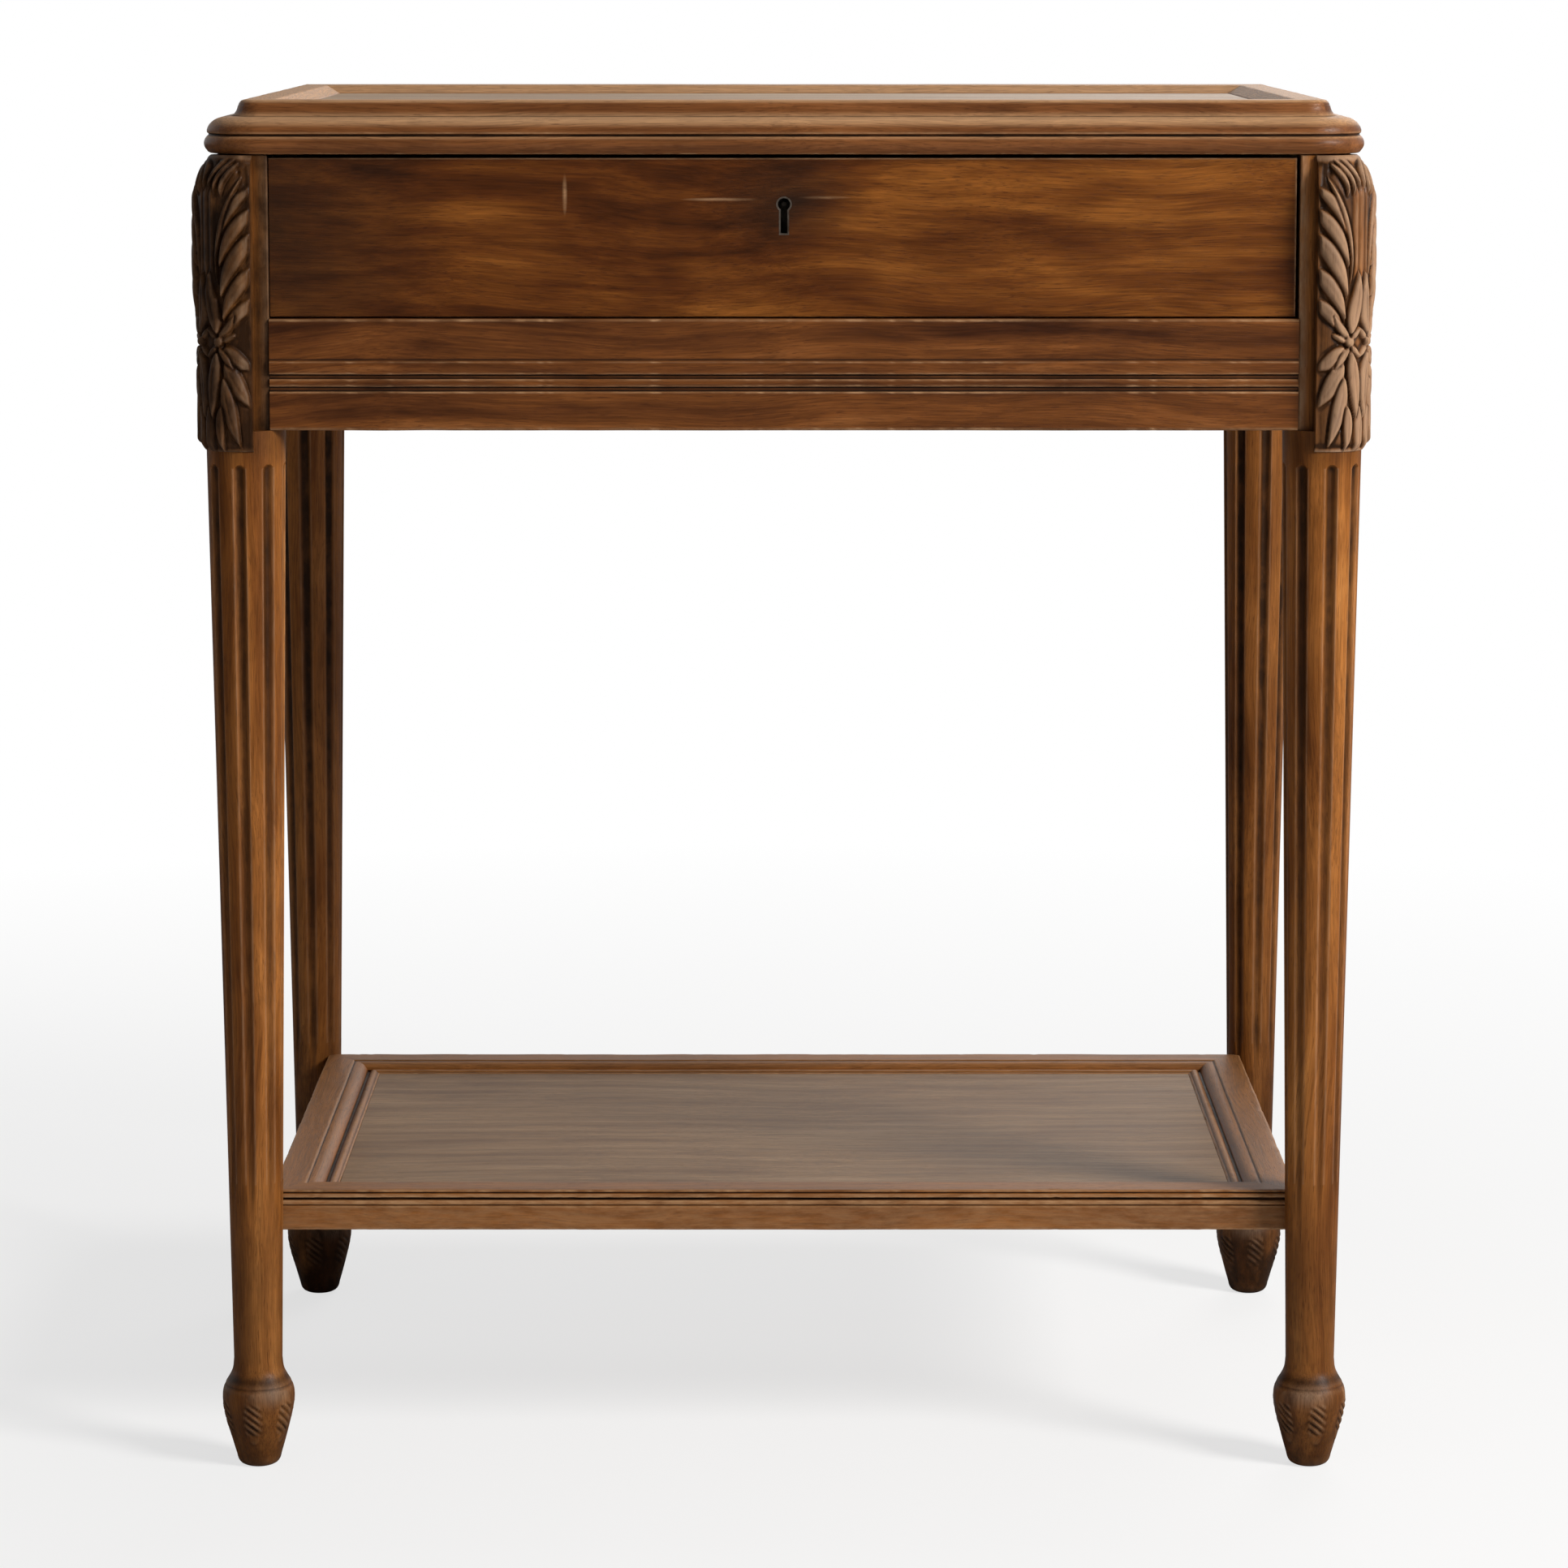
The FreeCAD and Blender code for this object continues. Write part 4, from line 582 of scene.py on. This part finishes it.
def traced(*parts):
    """A closed ring of points through (points, step) parts, each straight piece of a part cut
    into lengths of at most step, and a long one also a little before and after its corners."""
    ring = []
    corners = [(np.asarray(points, float), step) for points, step in parts]
    for number, (points, step) in enumerate(corners):
        following = corners[(number + 1) % len(corners)][0][:1]
        path = np.concatenate([points, following])
        for first, last in zip(path[:-1], path[1:]):
            long = np.hypot(*(last - first))
            cuts = max(1, int(np.ceil(long / step)))
            shares = np.arange(cuts) / cuts
            if long > 4.0:
                shares = np.sort(np.concatenate([shares, [0.9 / long, 1 - 0.9 / long]]))
            ring.append(first + (last - first) * shares[:, None])
    return np.concatenate(ring)


def bow(first, last, rise, count=7):
    """Points of a shallow parabola from first to last, which rises to the left of the way between
    them: rise * 4t(1 - t)."""
    first, last = np.asarray(first, float), np.asarray(last, float)
    t = np.linspace(0, 1, count)[:, None]
    way = last - first
    side = np.array([-way[1], way[0]]) / np.hypot(*way)
    return (first + way * t + side * (4 * rise * t * (1 - t))).tolist()


def edges_of(ring, reach=1.1):
    """Normals of a closed ring, and how convex and how hollow it is at each point, from 0 to 1:
    how far the point lies outside or inside the middle of the two places reach before and after
    it along the ring."""
    after = np.roll(ring, -1, 0)
    length = np.concatenate([[0], np.cumsum(np.hypot(*(after - ring).T))])
    closed = np.concatenate([ring, ring[:1]])

    def at(place):
        place = np.mod(place, length[-1])
        return np.stack([np.interp(place, length, closed[:, k]) for k in (0, 1)], -1)

    here = length[:-1]
    before, later = at(here - reach), at(here + reach)
    way = later - before
    normal = np.stack([-way[:, 1], way[:, 0]], -1) / (np.hypot(*way.T)[:, None] + 1e-9)
    area = np.sum(ring[:, 0] * after[:, 1] - after[:, 0] * ring[:, 1])
    normal *= -np.sign(area)
    bulge = np.sum((ring - (before + later) / 2) * normal, -1)
    return normal, np.clip((bulge - 0.13) / 0.3, 0, 1), np.clip(-(bulge + 0.06) / 0.32, 0, 1)


def unevenness(count, seed):
    """A smooth line of the given count: a sum of sines of 17 wave numbers k with seeded phases,
    each as strong as 1 / sqrt(k)."""
    draw = np.random.default_rng(seed)
    k = np.arange(2, 19)
    t = np.linspace(0, 2 * math.pi, count)[:, None]
    return (np.sin(k * t * 0.93 + draw.uniform(0, 6.28, len(k))) / np.sqrt(k)).sum(1) * 0.55


def chips(stations, seed, number):
    """Seeded nicks along an edge: a sum of bell curves 0.5 to 2 millimetres wide at the stations,
    which are in millimetres."""
    draw = np.random.default_rng(seed)
    at = draw.uniform(stations.min(), stations.max(), number)
    wide = draw.uniform(0.5, 2.0, number)
    deep = draw.uniform(0.2, 1.0, number)
    return (deep * np.exp(-((stations[:, None] - at) / wide) ** 2)).sum(1)


def worked(name, ring, length, place, material, body, node, seed, flip=False, nicks=30,
           nicked=1.0, fade_and_sheen=0.0, scuffed=0.0, span=1.0):
    """A moulded length of wood: the ring carried along length, with the convex edges rubbed down
    unevenly and nicked, most where nicked is 1. place turns (length grid, ring grid) into points.
    The fade argument makes what faces up paler: bleaching, and on the lid also a painted
    highlight. scuffed is more wear. nicked and scuffed are for the whole piece or for each ring
    point, and span is how many millimetres a step of 1 in length is."""
    normal, convex, hollow = edges_of(ring)
    nick = chips(length * span, seed + 50, nicks)[:, None] * (convex * nicked)
    uneven = 0.5 + 0.5 * unevenness(len(length), seed)[:, None]
    ripple = 0.05 * unevenness(len(length), seed + 9)[:, None]
    sink = RUB * convex[None] * uneven + nick * 0.3 + ripple
    shape = ring[None] - normal[None] * sink[..., None]
    marks = {"wear_and_glints": convex[None] * (0.3 + 0.45 * uneven) + nick * 1.5 + scuffed,
             "dirt_and_shade": hollow, "faded_and_sheen": fade_and_sheen * eased(normal[:, 1], 0.40, 0.95)}
    skin(name, [(place(length[:, None], shape), flip, marks)], material, body, node)


def band_face(out):
    """The worked band from its top arris down: (out, up) points, out being away from the case."""
    face = [(out - 1.6, BAND_TOP), (out - 0.5, 633.7), (out, 632.9), (out, 612.6),
            (out - 0.2, 612.2)]
    face += bow((out + 0.9, 610.9), (out + 0.2, 604.3), 0.35)
    face += [(out - 1.8, 604.0), (out - 1.8, 601.8)]
    face += bow((out - 0.5, 601.6), (out - 0.5, 597.6), 0.35)
    face += [(out - 1.8, 597.4), (out - 1.8, 595.2), (out - 0.3, 595.0), (out, 594.4)]
    return face + [(out, 575.2), (out - 0.5, 574.3), (out - 1.4, CASE_BOTTOM)]


def straight(runs_x, side):
    """Places for a rail of (out, up) rings that runs along X or Y, out being to the given side."""
    def place(along, p):
        run, out = along + 0 * p[..., 0], side * p[..., 0]
        return np.stack([run, out, p[..., 1]] if runs_x else [out, run, p[..., 1]], -1)

    return place


def dressed(material, *nodes):
    """Gives CAD pieces whose shape is right already their finished material."""
    for node in nodes:
        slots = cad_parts[node].material_slots
        if not slots:
            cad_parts[node].data.materials.append(material)
        for slot in slots:
            slot.material = material


case_wood = wood("walnut_case", "x", CASE_TONES, start=4.1, spread=0.14, sheen=0.2)
side_wood = wood("walnut_side", "y", CASE_TONES, start=5.7, spread=0.14)

front_ring = traced(([(FRONT_INSIDE, BAND_TOP), (170.0, BAND_TOP)], PLAIN_STEP),
                    (band_face(FRONT_FACE), 0.7),
                    ([(190.0, CASE_BOTTOM), (FRONT_INSIDE, CASE_BOTTOM)], PLAIN_STEP))
worked("front_rail_moulded", front_ring, np.linspace(-FRONT_HALF, FRONT_HALF, 221),
       straight(True, -1), case_wood, "frame", "front_rail", seed=11, nicks=46)

side_ring = traced(([(SIDE_INSIDE, CASE_TOP), (SIDE_BOARD - 1.0, CASE_TOP)], PLAIN_STEP),
                   ([(SIDE_BOARD - 0.3, CASE_TOP - 0.3), (SIDE_BOARD, CASE_TOP - 1.0),
                     (SIDE_BOARD, BAND_TOP + 0.1)], 4.0),
                   (band_face(SIDE_FACE), 0.8),
                   ([(300.0, CASE_BOTTOM), (SIDE_INSIDE, CASE_BOTTOM)], PLAIN_STEP))
for name, side in (("side_rail_left", -1), ("side_rail_right", 1)):
    worked(name + "_moulded", side_ring, np.linspace(-SIDE_HALF, SIDE_HALF, 141),
           straight(False, side), side_wood, "frame", name, seed=21 + side,
           flip=side < 0)

dressed(case_wood, "back_rail")


# What carries the drawer: plain oak runners, guides, kickers and stops, planed and left bare,
# glued inside the case where only an open drawer or lid shows them.
OAK_TONES = [(0.20, 0.105, 0.040), (0.31, 0.180, 0.080), (0.39, 0.240, 0.115),
             (0.47, 0.310, 0.165)]
oak_along_y = wood("oak_along_y", "y", OAK_TONES, start=7.3, rough=0.62, sheen=0.15, bump=0.5)
oak_along_x = wood("oak_along_x", "x", OAK_TONES, start=8.9, rough=0.62, sheen=0.15, bump=0.5)
for side_name in ("left", "right"):
    dressed(oak_along_y, "drawer_runner_" + side_name, "drawer_guide_" + side_name,
            "drawer_kicker_" + side_name)
dressed(oak_along_x, "drawer_stops")


# The drawer: oak sides dovetailed to a thick oak front and a thin back, an oak bottom slid into
# grooves and screwed, and on the front a sheet of figured walnut. Its keyhole has a thin steel
# lining, and behind it an iron lock is screwed on, whose steel bolt rises into the lid.
FIGURE_TONES = [(0.036, 0.009, 0.0010), (0.082, 0.021, 0.0024), (0.140, 0.041, 0.0050),
                (0.235, 0.077, 0.011)]
KEYHOLE_SMOKE = ((0.002, 0.697), (0.045, 0.028))
LEFT_END_STAIN = ((-0.275, 0.68), (0.10, 0.13))
KEY_SCRATCHES = (((-0.034, 0.6975), (0.022, 0.0011)), ((0.022, 0.6985), (0.015, 0.0010)))
UPRIGHT_SCRATCH = ((-0.117, 0.700), (0.0015, 0.012))
# Painted highlights along the front's top and right arrises, where they catch the light.
TOP_ARRIS_GLINT, RIGHT_ARRIS_GLINT = ((0.05, 0.7194), (0.55, 0.0009)), ((0.2734, 0.70), (0.0009, 0.12))


def metal(name, colour, rough, tarnish):
    """Bare metal: a colour that spots of tarnish darken and dull, with fine wear in its gloss."""
    material, tree = bare_material(name)
    place = add(tree, "ShaderNodeTexCoord").outputs["Object"]
    spots = noise_at(tree, place, (90.0, 90.0, 90.0), 4.0, 0.6)
    fine = noise_at(tree, place, (900.0, 300.0, 900.0), 3.0, 0.6)
    shade = ramp(tree, spots, [(0.38, tarnish), (0.62, colour)])
    gloss = plus(tree, rough + 0.12, spots, -0.25)
    gloss = plus(tree, gloss, fine, 0.12)
    relief = add(tree, "ShaderNodeBump", {"Height": fine, "Strength": 0.15, "Distance": 0.0002})
    shader = add(tree, "ShaderNodeBsdfPrincipled",
                 {"Base Color": shade, "Roughness": gloss, "Metallic": 1.0,
                  "Normal": relief.outputs[0]})
    add(tree, "ShaderNodeOutputMaterial", {"Surface": shader.outputs[0]})
    return material


figured = wood("walnut_figured", "x", FIGURE_TONES, start=5.35, bands=(9.0, 95.0),
               band_share=0.34, cloud=(4.5, 12.0), spread=0.10, rough=0.36, sheen=0.22,
               stains=(KEYHOLE_SMOKE, LEFT_END_STAIN),
               scrapes_and_glints=(*KEY_SCRATCHES, UPRIGHT_SCRATCH, TOP_ARRIS_GLINT, RIGHT_ARRIS_GLINT))
steel = metal("steel", (0.36, 0.30, 0.25), 0.36, (0.11, 0.08, 0.06))
iron = metal("iron", (0.10, 0.085, 0.07), 0.5, (0.03, 0.022, 0.018))
dressed(oak_along_y, "drawer_side_left", "drawer_side_right")
dressed(oak_along_x, "drawer_front", "drawer_back", "drawer_bottom")
dressed(figured, "drawer_front_veneer")
dressed(steel, "keyhole_liner", "drawer_bottom_screws", "lock_bolt", "lock_screws")
dressed(iron, "lock_case")


# The shelf: four walnut rails mitred at the corners, where the legs are let into them on dowels,
# with a moulded inner edge and a thin panel a little below it. Years of dust dull the panel.
SHELF_X, SHELF_Y, SHELF_TOP, SHELF_BOTTOM = 283.0, 175.5, 152.0, 129.5
SHELF_RAIL_WIDE = 35.0
SHELF_TONES = [(0.062, 0.018, 0.0035), (0.142, 0.044, 0.0085), (0.215, 0.071, 0.013),
               (0.310, 0.112, 0.025)]
SHELF_PALE = (0.44, 0.265, 0.130)
PANEL_TONES = [(0.105, 0.052, 0.023), (0.175, 0.098, 0.048), (0.240, 0.145, 0.075),
               (0.310, 0.200, 0.115)]
shelf_edge = [(1.5, SHELF_TOP), (0.9, 151.7), (0.8, 150.9), (1.3, 150.6)]
shelf_edge += bow((1.1, 150.2), (0.3, 149.2), -0.15, 4)
shelf_edge += [(0.1, 148.9), (0.1, 147.9), (1.6, 147.6), (1.6, 146.4)]
shelf_edge += bow((0.3, 146.1), (0.2, 143.9), -0.35)
shelf_edge += [(0.7, 143.6), (0.1, 143.2), (0.0, 142.6), (0.0, 130.4), (0.4, 129.7)]
shelf_edge += [(1.2, SHELF_BOTTOM)]
shelf_mould = [(SHELF_RAIL_WIDE, 147.2), (34.2, 147.5)] + bow((33.6, 147.6), (29.2, 147.6), -1.2)
shelf_mould += [(28.6, 146.9), (27.2, 146.9)] + bow((27.0, 147.7), (18.6, 151.3), -1.5, 9)
shelf_mould += [(18.2, 151.5), (17.6, SHELF_TOP)]
shelf_ring = traced(([(SHELF_RAIL_WIDE, SHELF_BOTTOM), (SHELF_RAIL_WIDE, 140.0)], PLAIN_STEP),
                    (shelf_mould, 0.7), ([(12.0, SHELF_TOP)], 5.0), (shelf_edge, 0.7),
                    ([(10.0, SHELF_BOTTOM)], PLAIN_STEP))
shelf_scuffed = 0.42 * (shelf_ring[:, 0] < 0.6)


def shelf_rail(place_name, material, runs_x, side, seed, nicks=30):
    """A rail whose ring is (inset from the outer edge, up), with both ends cut at 45 degrees: the
    length at inset d runs from -(reach - d) to reach - d. Its outer face is scuffed."""
    outer, reach, stations = (SHELF_Y, SHELF_X, 201) if runs_x else (SHELF_X, SHELF_Y, 141)

    def place(along, p):
        inset = p[..., 0]
        run = along * (reach - inset) / reach
        edge = side * (outer - inset)
        return np.stack([run, edge, p[..., 1]] if runs_x else [edge, run, p[..., 1]], -1)

    worked("shelf_" + place_name + "_moulded", shelf_ring, np.linspace(-reach, reach, stations),
           place, material, "frame", "shelf_" + place_name + "_rail", seed=seed,
           flip=(side > 0) == runs_x, nicks=nicks, fade_and_sheen=0.22, scuffed=shelf_scuffed)


shelf_along_x = wood("walnut_shelf_x", "x", SHELF_TONES, start=3.1, sheen=0.08, pale_and_sheen=SHELF_PALE)
shelf_along_y = wood("walnut_shelf_y", "y", SHELF_TONES, start=3.9, sheen=0.08, pale_and_sheen=SHELF_PALE)
shelf_rail("front", shelf_along_x, runs_x=True, side=-1, seed=31, nicks=60)
shelf_rail("rear", shelf_along_x, runs_x=True, side=1, seed=33)
shelf_rail("left", shelf_along_y, runs_x=False, side=-1, seed=35)
shelf_rail("right", shelf_along_y, runs_x=False, side=1, seed=37)
shelf_board = wood("walnut_shelf_panel", "x", PANEL_TONES, start=6.4, rough=0.5, sheen=0.10,
                   cloud=(4.0, 9.0))
dressed(shelf_board, "shelf_panel")
dressed(oak_along_x, "shelf_dowels")


# The lid: a mitred walnut frame round a panel sunk below it, with rounded front corners. Its
# front and side edges are worked with an ovolo, a cove, a quarter round and a bead, and nicked
# most along the bead. What faces up is paler: partly bleached, and partly a painted highlight
# where the light falls on it from above.
LID_X, LID_FRONT, LID_REAR, LID_TOP, LID_BOTTOM = 312.0, 201.0, 194.5, 750.0, 721.62
LID_ROUND = 32.0
RAIL_WIDE, REAR_WIDE, STRIP = 45.0, 38.5, 22.0
BOLT_IN, BOLT_SHARE, BOLT_TOP = (11.0, 19.0), 0.0397, 729.0
LID_TONES = [(0.052, 0.016, 0.004), (0.120, 0.040, 0.011), (0.190, 0.067, 0.019),
             (0.270, 0.104, 0.034)]
# The lid's up-facing surfaces are drawn to this pale tone: bleaching, and partly a painted
# highlight.
LID_PALE_AND_SHEEN = (0.56, 0.315, 0.155)
LID_FADE_AND_SHEEN = 0.85
FADED_TONES = [(0.22, 0.115, 0.052), (0.34, 0.205, 0.105), (0.43, 0.280, 0.155),
               (0.52, 0.365, 0.225)]
lid_edge = [(21.9, 0.0)] + bow((21.3, 0.1), (18.8, 3.0), 0.55, 6)
lid_edge += bow((18.5, 3.3), (15.4, 8.6), -0.55, 8) + [(15.0, 8.8), (13.2, 8.9)]
quarter = np.linspace(0.06, 1.0, 15) * math.pi / 2
lid_edge += np.stack([12.5 - 10.9 * np.sin(quarter), 17.4 - 8.4 * np.cos(quarter)], -1).tolist()
lid_edge += [(2.4, 17.9), (2.7, 18.4), (2.4, 18.9)] + bow((1.8, 19.3), (1.9, 27.2), 1.8, 12)
lid_edge += [(2.3, 28.0), (3.1, 28.38)]
lid_edge = [(inset, LID_TOP - drop) for inset, drop in lid_edge]
lid_mouth = [(RAIL_WIDE, 744.6), (44.6, 745.5), (37.6, 749.3), (36.6, 749.9), (35.6, LID_TOP)]
mortise_sides = [(BOLT_IN[0], LID_BOTTOM), (BOLT_IN[0] + 0.2, LID_BOTTOM),
                 (BOLT_IN[1] - 0.2, LID_BOTTOM), (BOLT_IN[1], LID_BOTTOM)]
lid_ring = traced(([(RAIL_WIDE, LID_BOTTOM), (RAIL_WIDE, 735.0)], PLAIN_STEP), (lid_mouth, 0.9),
                  ([(28.0, LID_TOP), (STRIP + 0.2, LID_TOP)], 5.0), (lid_edge, 0.6),
                  (mortise_sides + [(STRIP + 0.2, LID_BOTTOM)], PLAIN_STEP))
rear_mouth = [(inset - RAIL_WIDE + REAR_WIDE, up) for inset, up in lid_mouth]
rear_ring = traced(([(REAR_WIDE, LID_BOTTOM), (REAR_WIDE, 735.0)], PLAIN_STEP),
                   (rear_mouth, 0.9), ([(15.0, LID_TOP), (1.2, LID_TOP)], 5.0),
                   ([(0.3, 749.7), (0.0, 748.8)], 0.6),
                   ([(0.0, 722.2), (0.6, LID_BOTTOM)], PLAIN_STEP))
lid_nicked = np.where(lid_ring[:, 1] < LID_TOP - 18.5, 1.0, 0.15)


def round_corner(share, inset, run):
    """Where the lid's outline at an inset is, a share of the way to a front mitre from the front
    rail's middle or a side rail's end: straight for run, then an eighth of a circle of radius
    LID_ROUND - inset. Gives the distances along the straight and inwards from its edge."""
    radius = np.clip(LID_ROUND - inset, 0.0, None)
    plain = run - np.clip(inset - LID_ROUND, 0.0, None)
    way = share * (plain + radius * math.pi / 4)
    angle = np.clip(way - plain, 0, None) / np.maximum(radius, 1e-6)
    angle = np.where(radius > 0, np.clip(angle, 0, math.pi / 4), 0.0)
    return np.minimum(way, plain) + radius * np.sin(angle), inset + radius * (1 - np.cos(angle))


def lid_front_place(along, p):
    """The front rail, with the lock's mortise sunk into its underside at the middle."""
    inset, up = p[..., 0], p[..., 1]
    reach, deep = round_corner(np.abs(along), inset, LID_X - LID_ROUND)
    mortise = (inset > BOLT_IN[0] + 0.1) & (inset < BOLT_IN[1] - 0.1) & (up < LID_BOTTOM + 1)
    mortise = mortise & (np.abs(along) < BOLT_SHARE)
    up = np.where(mortise, BOLT_TOP, up)
    return np.stack([np.sign(along) * reach, -LID_FRONT + deep, up], -1)


def lid_side_place(side):
    """Places for a side rail, from the front mitre at 0 to the rear end at 1, which is mitred too
    inside the moulding."""
    def place(along, p):
        inset = p[..., 0]
        rear = LID_REAR - np.where(inset > STRIP, inset * REAR_WIDE / RAIL_WIDE, 0.0)
        reach, deep = round_corner(1 - along, inset, rear + LID_FRONT - LID_ROUND)
        return np.stack([side * (LID_X - deep), rear - reach, p[..., 1]], -1)

    return place


def lid_rear_place(along, p):
    """The rear rail between the side rails' mouldings, mitred to meet them."""
    end = np.minimum(LID_X - STRIP - 0.1, LID_X - p[..., 0] * RAIL_WIDE / REAR_WIDE)
    return np.stack([along * end, LID_REAR - p[..., 0], p[..., 1]], -1)


lid_along_x = wood("walnut_lid_x", "x", LID_TONES, start=9.2, sheen=0.18, pale_and_sheen=LID_PALE_AND_SHEEN)
lid_along_y = wood("walnut_lid_y", "y", LID_TONES, start=9.9, sheen=0.18, pale_and_sheen=LID_PALE_AND_SHEEN)
mortise_ends = BOLT_SHARE * np.array([-1.01, -0.99, 0.99, 1.01])
front_shares = np.sort(np.concatenate([np.linspace(-1, 1, 281), mortise_ends]))
worked("lid_front_moulded", lid_ring, front_shares, lid_front_place, lid_along_x, "lid",
       "lid_front_rail", seed=41, nicks=70, nicked=lid_nicked, fade_and_sheen=LID_FADE_AND_SHEEN,
       span=LID_X)
for name, side in (("lid_left_rail", -1), ("lid_right_rail", 1)):
    worked(name.replace("_rail", "_moulded"), lid_ring, np.linspace(0, 1, 171),
           lid_side_place(side), lid_along_y, "lid", name, seed=45 + side,
           flip=side > 0, nicks=24, nicked=lid_nicked, fade_and_sheen=LID_FADE_AND_SHEEN, span=LID_FRONT + LID_REAR)
worked("lid_rear_moulded", rear_ring, np.linspace(-1, 1, 61), lid_rear_place, lid_along_x, "lid",
       "lid_rear_rail", seed=49, flip=True, nicks=6, fade_and_sheen=LID_FADE_AND_SHEEN, span=LID_X)
lid_board = wood("walnut_panel", "x", FADED_TONES, start=1.1, rough=0.55, sheen=0.2)
dressed(lid_board, "lid_panel")


# The lid's metalwork: two brass stop hinges let into the back rail and the lid, each of two
# leaves on a steel pin, and a brass strike plate under the lid's front rail for the lock's bolt.
# Steel screws hold them.
brass = metal("brass", (0.66, 0.46, 0.19), 0.26, (0.30, 0.18, 0.07))
for side_name in ("left", "right"):
    dressed(brass, "hinge_case_leaf_" + side_name, "hinge_lid_leaf_" + side_name)
    dressed(steel, "hinge_pin_" + side_name)
dressed(brass, "strike_plate")
dressed(steel, "strike_screws", "hinge_case_screws", "hinge_lid_screws")


# The mirror under the lid: silvered glass let into the frame from below, held by four mitred
# walnut beads, with a thin board behind it.
dressed(lid_along_x, "mirror_bead_front", "mirror_bead_rear")
dressed(lid_along_y, "mirror_bead_left", "mirror_bead_right")
dressed(oak_along_x, "mirror_backing")
silver, silver_tree = bare_material("mirror")
silver_place = add(silver_tree, "ShaderNodeTexCoord").outputs["Object"]
silver_spots = noise_at(silver_tree, silver_place, (60.0, 60.0, 60.0), 5.0, 0.7)
silver_colour = ramp(silver_tree, silver_spots,
                     [(0.64, (0.86, 0.88, 0.87)), (0.77, (0.38, 0.35, 0.30))])
silver_dull = noise_at(silver_tree, silver_place, (25.0, 25.0, 25.0), 4.0, 0.6)
silver_dull = maths(silver_tree, "MULTIPLY", silver_dull, 0.06)
silver_shader = add(silver_tree, "ShaderNodeBsdfPrincipled",
                    {"Base Color": silver_colour, "Metallic": 1.0, "Roughness": silver_dull})
add(silver_tree, "ShaderNodeOutputMaterial", {"Surface": silver_shader.outputs[0]})
dressed(silver, "mirror_glass")
